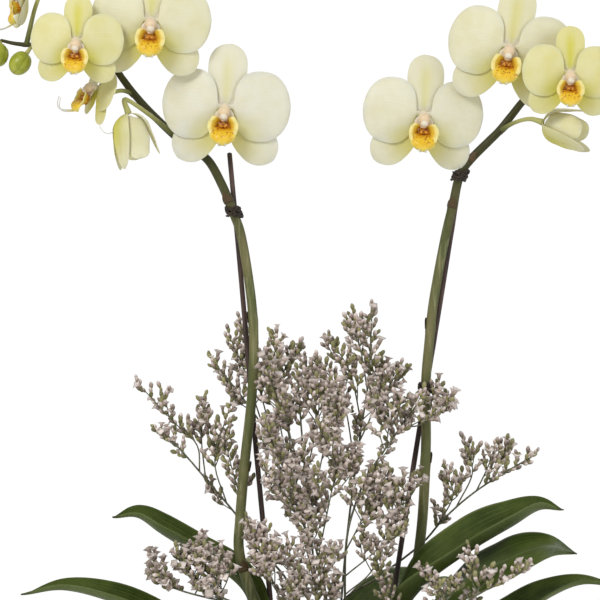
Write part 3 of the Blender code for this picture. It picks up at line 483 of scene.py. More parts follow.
def lip_paints():
    """The lip's own colours: column, side lobes, middle lobe, callus and tendrils."""
    soft = {"Subsurface_Weight": 0.15, "Subsurface_Radius": (0.003, 0.002, 0.001)}
    column = Paint("lip_column", 0.42, **soft)
    colour = column.mix(column.span(column.along, 0.15, 0.9), (0.82, 0.76, 0.62), (0.78, 0.60, 0.38))
    flecks = column.span(column.noise(500, 3), 0.54, 0.66, 0.0, 0.25)
    column.base(column.mix(flecks, colour, (0.58, 0.30, 0.17)))
    column.bump(column.noise(900, 3), 0.0003, 0.5)

    side = Paint("lip_side_lobe", 0.45, **soft)
    gold = side.mix(side.span(side.along, 0.10, 0.50), (0.62, 0.27, 0.006), (0.82, 0.56, 0.05))
    gold = side.mix(side.span(side.along, 0.55, 0.95), gold, (0.84, 0.74, 0.30))
    stripes = side.noise(1.0, 3, side.grown(1.2, 5.4, 3.0))
    bars = side.times(side.span(stripes, 0.52, 0.60), side.span(side.along, 0.80, 0.25))
    side.base(side.over(gold, (0.50, 0.15, 0.008), bars, 0.70))
    side.bump(side.noise(700, 3), 0.0003, 0.5)

    middle = Paint("lip_middle_lobe", 0.38, **soft)
    gold = middle.mix(middle.span(middle.along, 0.0, 0.32), (0.52, 0.19, 0.004), (0.82, 0.52, 0.015))
    gold = middle.mix(middle.span(middle.along, 0.55, 1.0), gold, (0.86, 0.70, 0.14))
    off_middle = middle.math("ABSOLUTE", middle.across)
    gold = middle.mix(middle.span(off_middle, 0.60, 1.0), gold, (0.86, 0.70, 0.14))
    freckles = middle.span(middle.noise(650, 2), 0.54, 0.61)
    freckled = middle.times(freckles, middle.span(middle.along, 0.80, 0.15))
    middle.base(middle.mix(freckled, gold, (0.38, 0.09, 0.006)))
    middle.bump(middle.noise(600, 3), 0.0004, 0.5)

    callus = Paint("lip_callus", 0.35)
    spots = callus.span(callus.noise(900, 2), 0.44, 0.54)
    callus.base(callus.mix(spots, (0.70, 0.32, 0.012), (0.36, 0.09, 0.008)))
    callus.bump(callus.noise(800, 3), 0.0003, 0.6)

    tendril = Paint("lip_tendril", 0.5, **soft)
    tendril.base(tendril.mix(tendril.span(tendril.along, 0.0, 0.35), (0.66, 0.56, 0.16), (0.70, 0.68, 0.62)))
    tendril.bump(tendril.noise(900, 3), 0.0002, 0.4)
    return [paint.material for paint in (column, side, middle, callus, tendril)]


def leaf_paint(name, top_dark, top_light, under):
    """Waxy blade: fine parallel veins, a paler midrib that is partly a painted highlight along it, and a
    lighter underside (its tag is 1).
    """
    paint = Paint(name, 0.46, Specular_IOR_Level=0.14)
    mottle = paint.span(paint.noise(34, 5), 0.38, 0.66)
    top = paint.mix(mottle, top_dark, top_light)
    streaks = paint.span(paint.noise(1.0, 4, paint.grown(2.4, 42.0)), 0.42, 0.64)
    top = paint.over(top, shade(top_light, (0.26, 0.28, 0.09), 0.35), streaks, 0.45)
    off_middle = paint.math("ABSOLUTE", paint.across)
    edge = paint.span(off_middle, 0.92, 1.0)
    top = paint.over(top, shade(under, (0.34, 0.34, 0.18), 0.4), edge, 0.5)
    # Paler midrib stripe: partly the rib's own colour, partly a painted highlight along the midrib.
    midrib_and_highlight = paint.span(off_middle, 0.0, 0.07, 1.0, 0.0)
    top = paint.over(top, shade(under, (0.22, 0.26, 0.08), 0.5), midrib_and_highlight, 0.45)
    below = paint.mix(paint.span(paint.noise(60, 4), 0.35, 0.7), under, shade(under, top_light, 0.5))
    lines = paint.span(paint.noise(1.0, 3, paint.grown(1.8, 30.0)), 0.45, 0.62)
    below = paint.over(below, top_light, lines, 0.35)
    body = paint.mix(paint.span(paint.tag, 0.4, 0.6), top, below)
    base = paint.span(paint.along, 0.16, 0.0)
    body = paint.over(body, (0.20, 0.21, 0.07), base, 0.6)
    tip = paint.span(paint.along, 0.93, 1.0)
    paint.base(paint.over(body, (0.022, 0.026, 0.006), tip, 0.8))
    paint.rough(paint.span(paint.noise(45, 4), 0.3, 0.7, 0.36, 0.54))
    paint.bump(paint.noise(1.0, 3, paint.grown(2.0, 48.0)), 0.0007, 0.6)
    paint.bump(paint.noise(420, 3), 0.0004, 0.35)
    return paint.material


def stem_paint():
    """Spike: olive green, browner in patches, darker near the flowers.

    The tag is 0 on the spike itself, 1 on the flowers' paler stalks and 2 on the brown bracts.
    """
    paint = Paint("orchid_stem", 0.50, Specular_IOR_Level=0.25)
    patches = paint.span(paint.noise(55, 5, paint.stretch((1, 1, 0.35))), 0.36, 0.66)
    green = paint.mix(patches, (0.095, 0.110, 0.034), (0.185, 0.165, 0.070))
    streak = paint.span(paint.noise(420, 3, paint.stretch((1, 1, 0.06))), 0.52, 0.66)
    green = paint.over(green, (0.30, 0.29, 0.15), streak, 0.55)
    specks = paint.span(paint.noise(900, 3), 0.60, 0.70)
    green = paint.over(green, (0.075, 0.060, 0.025), specks, 0.40)
    height = paint.add("SeparateXYZ", Vector=paint.place).outputs[2]
    green = paint.mix(paint.span(height, 0.42, 0.50, 0.0, 0.90), green, (0.038, 0.036, 0.008))
    stalk = paint.mix(paint.span(paint.along, 0.0, 0.6), (0.10, 0.11, 0.03), (0.46, 0.45, 0.16))
    body = paint.mix(paint.span(paint.tag, 0.8, 1.0), green, stalk)
    paint.base(paint.mix(paint.span(paint.tag, 1.6, 2.0), body, (0.085, 0.055, 0.024)))
    paint.bump(paint.noise(300, 4, paint.stretch((1, 1, 0.12))), 0.0006, 0.6)
    return paint.material


def simple_paint(name, roughness, scale, dark, light, depth, stretch=(1, 1, 1)):
    """Two tones mixed by noise, with a bump of the same grain."""
    paint = Paint(name, roughness)
    coords = paint.stretch(stretch)
    paint.base(paint.mix(paint.span(paint.noise(scale, 5, coords), 0.34, 0.68), dark, light))
    paint.bump(paint.noise(scale * 2.2, 4, coords), depth, 0.8)
    return paint.material


def bud_paint():
    """Plump green bud, its seams darker and its tip a little yellower."""
    paint = Paint("bud_skin", 0.38, Subsurface_Weight=0.1, Subsurface_Radius=(0.003, 0.003, 0.001))
    body = paint.mix(paint.span(paint.noise(160, 4), 0.35, 0.68), (0.29, 0.33, 0.018), (0.43, 0.45, 0.055))
    seam = paint.span(paint.tag, 0.0, 0.5, 1.0, 0.0)
    body = paint.over(body, (0.17, 0.20, 0.015), seam, 0.55)
    paint.base(paint.mix(paint.span(paint.along, 0.72, 1.0, 0.0, 0.5), body, (0.34, 0.30, 0.03)))
    paint.bump(paint.noise(500, 3), 0.0003, 0.5)
    return paint.material


def floret_paint():
    """Sea lavender: olive at its foot, brownish mauve above, paler at its mouth.

    The way along runs up a floret. The way across is how green it is. The tag is its tone.
    """
    paint = Paint("lavender_floret", 0.75, Sheen_Weight=0.1)
    mauve = paint.mix(paint.tag, (0.17, 0.118, 0.100), (0.56, 0.43, 0.395))
    pale = paint.mix(paint.tag, (0.38, 0.30, 0.25), (0.90, 0.80, 0.74))
    foot = paint.mix(paint.tag, (0.075, 0.080, 0.014), (0.30, 0.29, 0.09))
    body = paint.mix(paint.span(paint.along, 0.15, 0.50), foot, mauve)
    body = paint.mix(paint.span(paint.along, 0.50, 0.85), body, pale)
    body = paint.mix(paint.across, body, foot)
    paint.base(paint.mix(paint.span(paint.noise(420, 3), 0.55, 0.72, 0.0, 0.45), body, (0.17, 0.145, 0.09)))
    return paint.material


def glaze_paint():
    paint = Paint("white_glaze", 0.20, Coat_Weight=0.4, Coat_Roughness=0.08)
    tone = paint.span(paint.noise(14, 5), 0.3, 0.7)
    white = paint.mix(tone, (0.80, 0.79, 0.755), (0.845, 0.84, 0.815))
    pins = paint.span(paint.cells(420), 0.06, 0.10, 1.0, 0.0)
    white = paint.over(white, (0.55, 0.50, 0.42), pins, 0.30)
    bare = paint.span(paint.tag, 0.6, 0.9)
    paint.base(paint.mix(bare, white, (0.62, 0.56, 0.47)))
    polish = paint.span(paint.noise(30, 4), 0.3, 0.7, 0.16, 0.26)
    paint.rough(paint.math("ADD", polish, paint.times(bare, 0.5)))
    paint.bump(paint.noise(26, 4), 0.0007, 0.5)
    paint.bump(paint.noise(1.0, 2, paint.grown(60, 0, 0)), 0.0006, 0.4)
    return paint.material


# ---- mesh helpers


class Sculpt:
    """Gathers points and faces, each point with its "grow" values, and makes one mesh of them."""

    def __init__(self):
        self.points, self.faces, self.grow, self.paint = [], [], [], []

    def add(self, points, faces, grow, paint=0):
        first = len(self.points)
        self.points.extend(points)
        self.grow.extend(grow)
        self.faces.extend(tuple(first + v for v in face) for face in faces)
        self.paint.extend([paint] * len(faces))

    def tube(self, route, radius, sides=8, paint=0, tag=0.0, ripple=0.0):
        """A round stem along the route. The radius is a number, or a function of the way along."""
        count = len(route)
        side = None
        points, grow = [], []
        for i, place in enumerate(route):
            heading = (route[min(i + 1, count - 1)] - route[max(i - 1, 0)]).normalized()
            if side is None:
                side = heading.orthogonal().normalized()
            side = (side - heading * side.dot(heading)).normalized()
            other = heading.cross(side)
            t = i / (count - 1)
            r = radius(t) if callable(radius) else radius
            for k in range(sides):
                angle = 2 * pi * k / sides
                swell = r * (1 + ripple * sin(3 * angle + 5 * t))
                points.append(place + (side * cos(angle) + other * sin(angle)) * swell)
                grow.append((t, k / sides, tag))
        faces = ring_faces(count, sides)
        for end, beyond in ((0, route[0] - route[1]), (count - 1, route[-1] - route[-2])):
            r = radius(end / (count - 1)) if callable(radius) else radius
            points.append(route[end] + beyond.normalized() * r * 0.5)
            grow.append((end / (count - 1), 0, tag))
            loop = range(end * sides, (end + 1) * sides)
            faces += fan_faces(loop, len(points) - 1, flip=end != 0)
        self.add(points, faces, grow, paint)

    def sheet(self, grid, along, across, thickness, paint=0, tags=(0.0, 0.0)):
        """A closed blade from rows of points: a front, a back and a rim, with the rows' ways along,
        the columns' ways across, and the tags of its front and back.
        """
        front = np.array([[tuple(p) for p in row] for row in grid])
        rows, columns = front.shape[:2]
        normal = np.cross(np.gradient(front, axis=0), np.gradient(front, axis=1))
        normal /= np.maximum(np.linalg.norm(normal, axis=2, keepdims=True), 1e-12)
        edge = 1 - np.abs(np.linspace(-1, 1, columns)) ** 6
        end = 1 - np.linspace(0, 1, rows) ** 14
        depth = thickness * (0.25 + 0.75 * edge[None, :, None] * end[:, None, None])
        back = front + normal * depth
        points = [Vector(p) for p in front.reshape(-1, 3)] + [Vector(p) for p in back.reshape(-1, 3)]
        grow = [(t, k, tag) for tag in tags for t in along for k in across]
        faces = []
        total = rows * columns
        for i in range(rows - 1):
            for a in range(i * columns, (i + 1) * columns - 1):
                face = (a, a + columns, a + columns + 1, a + 1)
                faces.append(face)
                faces.append(tuple(v + total for v in reversed(face)))
        rim = list(range(columns))
        rim += [i * columns + columns - 1 for i in range(1, rows)]
        rim += [(rows - 1) * columns + j for j in range(columns - 2, -1, -1)]
        rim += [i * columns for i in range(rows - 2, 0, -1)]
        for a, b in zip(rim, rim[1:] + rim[:1]):
            faces.append((a, b, b + total, a + total))
        self.add(points, faces, grow, paint)

    def turned(self, profile, sides, paint=0, tags=None, lift=(0, 0, 0), axis=UP):
        """A solid of revolution. The profile of (radius, height) starts and ends on the axis."""
        turn = axis.to_track_quat("Z", "Y").to_matrix()
        count = len(profile)
        points, grow = [], []
        for i, (radius, height) in enumerate(profile):
            tag = tags[i] if tags else 0.0
            for k in range(sides):
                angle = 2 * pi * k / sides
                wide = max(radius, 1e-6)
                local = Vector((wide * cos(angle), wide * sin(angle), height))
                points.append(turn @ local + Vector(lift))
                grow.append((i / (count - 1), k / sides, tag))
        self.add(points, closed_rings(count, sides), grow, paint)

    def place(self, matrix):
        self.points = [matrix @ p for p in self.points]

    def finish(self, name, slot, nodes, paints, smooth=True):
        """Makes the mesh object, and ties it to the frame as the stand-in for these CAD nodes."""
        mesh = bpy.data.meshes.new(name)
        mesh.from_pydata([tuple(p) for p in self.points], [], self.faces)
        for paint in paints:
            mesh.materials.append(paint)
        mesh.polygons.foreach_set("material_index", self.paint)
        values = mesh.attributes.new("grow", "FLOAT_VECTOR", "POINT")
        values.data.foreach_set("vector", [n for g in self.grow for n in g])
        if smooth:
            mesh.shade_smooth()
        mesh.update()
        piece = new_object(name, mesh)
        outward(piece)
        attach(piece, "root")
        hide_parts(*nodes)


def outward(piece):
    """Turns every face of the piece outwards."""
    bm = bmesh.new()
    bm.from_mesh(piece.data)
    bmesh.ops.recalc_face_normals(bm, faces=bm.faces)
    bm.to_mesh(piece.data)
    bm.free()


def ring_faces(count, sides):
    faces = []
    for i in range(count - 1):
        for k in range(sides):
            a, b = i * sides + k, i * sides + (k + 1) % sides
            faces.append((a, b, b + sides, a + sides))
    return faces


def closed_rings(count, sides):
    """Rings of points, one above another, with a cap on each end."""
    caps = [tuple(reversed(range(sides))), tuple(range((count - 1) * sides, count * sides))]
    return ring_faces(count, sides) + caps


def fan_faces(loop, centre, flip):
    loop = list(loop)
    pairs = zip(loop, loop[1:] + loop[:1])
    return [(a, b, centre) if flip else (b, a, centre) for a, b in pairs]


def smooth_route(points, steps):
    """Points along a Catmull-Rom curve: `steps` of them for each stretch between two points."""
    held = [Vector(p) for p in points]
    held = [held[0] * 2 - held[1], *held, held[-1] * 2 - held[-2]]
    route = []
    for i in range(1, len(held) - 2):
        a, b, c, d = held[i - 1 : i + 3]
        for step in range(steps):
            t = step / steps
            bowed = (2 * a - 5 * b + 4 * c - d) * t**2 + (3 * b - a - 3 * c + d) * t**3
            route.append(0.5 * ((2 * b) + (c - a) * t + bowed))
    return [*route, held[-2]]


def at_fraction(route, fraction):
    place = max(0, min(1, fraction)) * (len(route) - 1)
    low = min(int(place), len(route) - 2)
    return route[low].lerp(route[low + 1], place - low)


def bump(value, centre, spread):
    return exp(-(((value - centre) / spread) ** 2))


def smoothstep(low, high, value):
    t = max(0, min(1, (value - low) / (high - low)))
    return t * t * (3 - 2 * t)


# ---- vase and bark


def vase_radius(height):
    rise = max(0, min(1, height / VASE_HEIGHT))
    return VASE_FOOT_RADIUS + (VASE_MOUTH_RADIUS - VASE_FOOT_RADIUS) * sin(rise * pi / 2) ** 0.9


def make_vase():
    lip = VASE_WALL / 2
    steps = 36
    low, foot, high = VASE_FLOOR + 0.004, 0.003, VASE_HEIGHT - lip
    inner = [low + (high - low) * i / steps for i in range(steps + 1)]
    outer = [high - (high - foot) * i / steps for i in range(steps + 1)]
    profile = [(0, VASE_FLOOR), (vase_radius(inner[0]) - VASE_WALL - 0.004, VASE_FLOOR)]
    profile += [(vase_radius(z) - VASE_WALL, z) for z in inner]
    for k in range(1, 8):
        angle = pi * k / 8
        profile.append((VASE_MOUTH_RADIUS - lip - lip * cos(angle), high + lip * sin(angle)))
    profile += [(vase_radius(z), z) for z in outer]
    profile += [(VASE_FOOT_RADIUS - 0.0004, 0.0012), (VASE_FOOT_RADIUS - 0.0015, 0.0002)]
    glazed = len(profile)
    profile += [(VASE_FOOT_RADIUS - 0.004, 0), (0, 0)]
    tags = [0.0] * (glazed - 1) + [1.0] * (len(profile) - glazed + 1)
    vase = Sculpt()
    vase.turned(profile, 128, tags=tags)
    vase.finish("vase_glazed", "vase_glaze", ["vase"], [glaze_paint()])


def bark_chip(size):
    """One torn flake of bark: a squashed ball with broken corners."""
    points = []
    rings, sides = 4, 7
    stretch = (1, rng.uniform(0.5, 0.8), rng.uniform(0.22, 0.4))
    for i in range(rings + 1):
        polar = pi * (0.06 + 0.88 * i / rings)
        for k in range(sides):
            angle = 2 * pi * k / sides
            ragged = size * rng.uniform(0.78, 1.18)
            flat = (sin(polar) * cos(angle), sin(polar) * sin(angle), cos(polar))
            points.append(Vector([f * s * ragged for f, s in zip(flat, stretch)]))
    return points, closed_rings(rings + 1, sides)


def make_medium():
    medium = Sculpt()
    inner = vase_radius(MEDIUM_TOP) - VASE_WALL - 0.0008
    low = VASE_FLOOR + 0.006
    profile = [(0, MEDIUM_TOP - 0.003), (inner * 0.5, MEDIUM_TOP - 0.0035)]
    profile.append((inner * 0.985, MEDIUM_TOP - 0.004))
    for i in range(8):
        z = MEDIUM_TOP - 0.006 - (MEDIUM_TOP - 0.006 - low) * i / 7
        profile.append((vase_radius(z) - VASE_WALL - 0.0006, z))
    profile.append((0, low))
    medium.turned(profile, 48)
    for _ in range(BARK_CHIPS):
        reach, angle = (inner - 0.006) * sqrt(rng.random()), rng.uniform(0, 2 * pi)
        place = Vector((reach * cos(angle), reach * sin(angle), MEDIUM_TOP - rng.uniform(-0.0015, 0.003)))
        points, faces = bark_chip(rng.uniform(0.0035, 0.0085))
        turn = Euler((rng.gauss(0, 0.35), rng.gauss(0, 0.35), rng.uniform(0, 6.28))).to_matrix()
        tone = rng.random()
        medium.add([turn @ p + place for p in points], faces, [(tone, 0, 1)] * len(points), 1)
    bed = simple_paint("bark_bed", 0.95, 260, (0.030, 0.018, 0.010), (0.075, 0.045, 0.026), 0.0012)
    chip = Paint("bark_chips", 0.9)
    tone = chip.mix(chip.along, (0.085, 0.045, 0.022), (0.30, 0.175, 0.095))
    grain = chip.span(chip.noise(340, 5, chip.stretch((1, 0.25, 1))), 0.36, 0.68)
    chip.base(chip.over(tone, (0.045, 0.026, 0.015), grain, 0.6))
    chip.bump(chip.noise(500, 5), 0.0010, 0.9)
    medium.finish("bark_medium_chips", "bark_medium", ["growing_medium"], [bed, chip.material], smooth=False)


# ---- orchid plants


def make_crown(side, paint, root_paint):
    """Short stem wrapped in old leaf bases, with fat silvery roots over the bark."""
    x, y = CROWN_PLACES[side]
    crown = Sculpt()
    low = MEDIUM_TOP - 0.002
    profile = [(0, CROWN_TOP)]
    for i in range(1, 15):
        angle = i / 14 * pi / 2
        collar = 1 + 0.05 * sin(i * 2.4)
        height = low + (CROWN_TOP - low) * (0.55 + 0.45 * cos(angle))
        profile.append((CROWN_RADIUS * sin(angle) * collar, height))
    profile += [(CROWN_RADIUS * 0.99, low + 0.010), (CROWN_RADIUS * 0.95, low), (0, low)]
    crown.turned(profile, 28, lift=(x, y, 0))
    for _ in range(ROOTS_PER_CROWN):
        heading = rng.uniform(0, 2 * pi)
        bend = rng.uniform(-0.9, 0.9)
        place = Vector((x, y, MEDIUM_TOP + 0.008))
        route = [place]
        direction = Vector((cos(heading), sin(heading), 0.15))
        for step in range(7):
            direction.rotate(Euler((0, 0, bend * 0.35 + rng.gauss(0, 0.18))))
            direction.z = 0.15 - 0.35 * step
            place = place + direction.normalized() * 0.0062
            if hypot(place.x, place.y) > ROOT_REACH:
                break
            route.append(place.copy())
            place.z = max(place.z, MEDIUM_TOP - 0.002)
        if len(route) > 3:
            thick = rng.uniform(0.0017, 0.0024)
            crown.tube(smooth_route(route, 4), lambda t, r=thick: r * (1 - 0.3 * t), 10, 1, ripple=0.04)
    crown.finish(f"crown_{side}_stem", "crown_green", [f"crown_{side}"], [paint, root_paint])


def blade_width(t):
    shoulder = LEAF_NECK + (1 - LEAF_NECK) * sin(pi / 2 * min(1, t / LEAF_SHOULDER))
    return shoulder * sin(min(1, (1 - t) / LEAF_TAPER) * pi / 2) ** LEAF_POINT


def make_leaf(name, route, half_width, near_rise, far_rise, paint):
    """A keeled strap leaf: its two halves rise from the midrib and flatten towards the tip."""
    rows, columns = 72, 21
    steps = smooth_route(route, 16)
    along = [1 - (1 - i / (rows - 1)) ** 1.15 for i in range(rows)]
    across = [-1 + 2 * j / (columns - 1) for j in range(columns)]
    centre = [at_fraction(steps, t) for t in along]
    phase = rng.uniform(0, 6)
    grid = []
    for i, (place, t) in enumerate(zip(centre, along)):
        heading = (centre[min(i + 1, rows - 1)] - centre[max(i - 1, 0)]).normalized()
        far = UP.cross(heading).normalized()
        far = far if far.y > 0 else -far
        lift = (UP - UP.project(heading)).normalized()
        width = max(half_width * blade_width(t), 0.0004)
        row = []
        for k in across:
            rise = radians(near_rise if k < 0 else far_rise)
            reach = abs(k)
            # The halves leave the midrib at a rounded keel and bow outwards a little.
            bow = sin(reach * pi / 2) ** 0.9
            outward_by = reach * cos(rise) + 0.05 * sin(pi * reach)
            up_by = sin(rise) * (0.35 * reach + 0.65 * reach * bow) - 0.035 * sin(pi * reach)
            wave = 0.00055 * sin(t * 9 + phase + (0 if k < 0 else 2.1)) * reach**2
            sign = -1 if k < 0 else 1
            row.append(place + far * (sign * outward_by * width) + lift * (up_by * width + wave))
        grid.append(row)
    if (grid[1][0] - grid[0][0]).cross(grid[0][1] - grid[0][0]).z > 0:
        grid = [row[::-1] for row in grid]
        across = across[::-1]
    leaf = Sculpt()
    leaf.sheet(grid, along, across, BLADE_THICKNESS, tags=(0.0, 1.0))
    leaf.finish(name + "_blade", "leaf_green", [name], [paint])


def flower_turn(turn, nod, roll):
    return Euler((radians(nod), radians(roll), radians(turn))).to_matrix()


def spike_radius(t):
    """The spike's radius at a fraction of its length, thicker at its nodes."""
    thinned = SPIKE_RADIUS + (SPIKE_TIP_RADIUS - SPIKE_RADIUS) * t**4 + SPIKE_FOOT_SWELL * (1 - t) ** 2
    return thinned * (1 + 0.10 * sum(bump(t, node, 0.004) for node in SPIKE_NODES))


def make_bract(spike, route, fraction, radius, turn):
    """A small papery scale that clasps the stem at a node."""
    place = at_fraction(route, fraction)
    heading = (at_fraction(route, fraction + 0.01) - place).normalized()
    side = Vector((cos(turn), sin(turn), 0))
    side = (side - heading * side.dot(heading)).normalized()
    other = heading.cross(side)
    grid = []
    along = [i / 7 for i in range(8)]
    for t in along:
        spread = 1.25 * (1 - t**1.6)
        row = []
        for j in range(7):
            angle = (-1 + j / 3) * spread
            out = radius * 1.10 + 0.0007 * t
            row.append(place + heading * 0.0075 * t + (side * cos(angle) + other * sin(angle)) * out)
        grid.append(row)
    spike.sheet(grid, along, [0] * 7, 0.0003, tags=(2.0, 2.0))


def make_spike(side, paint):
    points = SPIKES[side]
    route = smooth_route(points, 8)
    last = len(points) - 1
    spike = Sculpt()
    spike.tube(route, spike_radius, 16, ripple=0.02)
    for number, fraction in enumerate(SPIKE_NODES):
        make_bract(spike, route, fraction, spike_radius(fraction), 1.9 * number - 1.3)
    for owner, hub, turn, nod, roll, size, _curl, leaves_at, _yellow in FLOWERS.values():
        if owner != side:
            continue
        start = at_fraction(route, leaves_at / last)
        back = flower_turn(turn, nod, roll) @ Vector((0, 1, 0))
        end = Vector(hub) + back * (SEPAL_THICKNESS * 0.6)
        behind = end + back * 0.010 * (0.6 + 0.4 * size)
        middle = start.lerp(behind, 0.5) + UP * PEDICEL_RADIUS
        stalk = smooth_route((start, middle, behind, end), 7)
        spike.tube(stalk, lambda t: PEDICEL_RADIUS * (1.22 - 0.30 * sin(pi * t) + 0.35 * t**6), 10, 0, 1.0)
        fraction = leaves_at / last
        make_bract(spike, route, fraction - 0.004, spike_radius(fraction), -1.2 + leaves_at)
    for owner, centre, leaves_at, size in BUDS.values():
        if owner != side:
            continue
        start = at_fraction(route, leaves_at / last)
        towards = (Vector(centre) - start).normalized()
        end = Vector(centre) - towards * (BUD_RADIUS * size * 0.98)
        stalk = [start.lerp(end, k / 5) for k in range(6)]
        spike.tube(stalk, lambda t: PEDICEL_RADIUS * (0.85 + 0.3 * t**3), 9, 0, 1.0)
    spike.finish(f"spike_{side}_stem", "stem_green", [f"spike_{side}"], [paint])


def make_bud(name, owner, centre, leaves_at, size, paint):
    """A plump closed bud, with the seams of its folded sepals."""
    route = smooth_route(SPIKES[owner], 8)
    start = at_fraction(route, leaves_at / (len(SPIKES[owner]) - 1))
    axis = (Vector(centre) - start).normalized()
    turn = axis.to_track_quat("Z", "Y").to_matrix()
    rings, sides = 26, 36
    points, grow = [], []
    for i in range(rings + 1):
        t = i / rings
        polar = pi * t
        for k in range(sides):
            angle = 2 * pi * k / sides
            seam = abs(sin(1.5 * angle)) ** 0.5
            r = BUD_RADIUS * size * max(0.01, sin(polar)) ** 0.9 * (0.94 + 0.06 * seam)
            height = -cos(polar) * BUD_RADIUS * size * (BUD_STRETCH + 0.06 * t)
            points.append(turn @ Vector((r * cos(angle), r * sin(angle), height)) + Vector(centre))
            grow.append((t, k / sides, seam))
    bud = Sculpt()
    bud.add(points, closed_rings(rings + 1, sides), grow)
    bud.finish(f"bud_{name}_skin", "bud_green", [f"bud_{name}"], [paint])


# ---- flowers


def lobe_width(t, skew, claw, point):
    """A lobe's half width at a fraction of its length, where 1 is its widest, past its narrow claw."""
    out = max(0, t - claw) / (1 - claw)
    return max(0, 1 - abs(2 * out**skew - 1) ** 2.4) ** point


def bent(x, z, curl, layer):
    """Where a point of a flat flower lands once its lobes bend forward, on a layer in front of the hub."""
    distance = hypot(x, z)
    rate = 2 * abs(curl)
    angle = min(rate * distance, GREATEST_BEND)
    straight = distance - angle / rate
    side = copysign(1, curl)
    out = sin(angle) / rate + straight * cos(angle) - side * layer * sin(angle)
    forward = side * ((1 - cos(angle)) / rate + straight * sin(angle)) + layer * cos(angle)
    scale = out / max(distance, 1e-9)
    return Vector((x * scale, -forward, z * scale))


def lobe(flower, facts, size, curl, layer, tag, phase):
    """One sepal or petal, with its tag, in the flower's own frame that faces -Y."""
    angle_deg, length, half_width, *outline = facts
    rows, columns = 40, 23
    angle = radians(angle_deg)
    along = Vector((cos(angle), 0, sin(angle)))
    across = Vector((along.z, 0, -along.x))
    lower = 1 if across.z < 0 else -1
    ways = [(1 - cos(pi * i / (rows - 1))) / 2 for i in range(rows)]
    sides = [sin((-1 + 2 * j / (columns - 1)) * pi / 2) for j in range(columns)]
    grid = []
    for t in ways:
        distance = HUB_RADIUS * 0.4 + (length - HUB_RADIUS * 0.4) * t
        width = max(half_width * lobe_width(0.001 + 0.998 * t, *outline), 0.0018 * (1 - t) ** 2)
        row = []
        for k in sides:
            flat = (along * distance + across * width * k) * size
            edge = abs(k)
            ruffle = 0.00050 * sin(2.6 * k + 6.5 * t + phase) * edge**2 * sin(pi * min(1, t * 1.05))
            ruffle += 0.00025 * sin(15 * t + 4 * k + phase * 2) * edge**4
            if tag == 0:
                relief = -0.0010 * edge**2.4 * t + 0.0009 * bump(t, 0.25, 0.22) * (1 - edge) + ruffle
                relief -= 0.0003 * exp(-((k / 0.07) ** 2)) * (1 - t)
            else:
                relief = -0.0014 * edge**2 * sin(pi * t**0.8) + ruffle * 0.7
                relief -= 0.0005 * exp(-((k / 0.09) ** 2)) * sin(pi * t)
                relief -= 0.0012 * t**3
            row.append(bent(flat.x, flat.z, curl, layer + relief * size))
        grid.append(row)
    flower.sheet(grid, ways, [k * lower for k in sides], PETAL_THICKNESS * size, tags=(tag, tag))


def lip_sheet(lip, rows, columns, place, width_of, paint, thickness=0.0006):
    """A part of the lip: `place` gives the point for the way along and the way across."""
    along = [i / (rows - 1) for i in range(rows)]
    across = [-1 + 2 * j / (columns - 1) for j in range(columns)]
    grid = [[place(t, k, width_of(t)) for k in across] for t in along]
    lip.sheet(grid, along, across, thickness, paint)


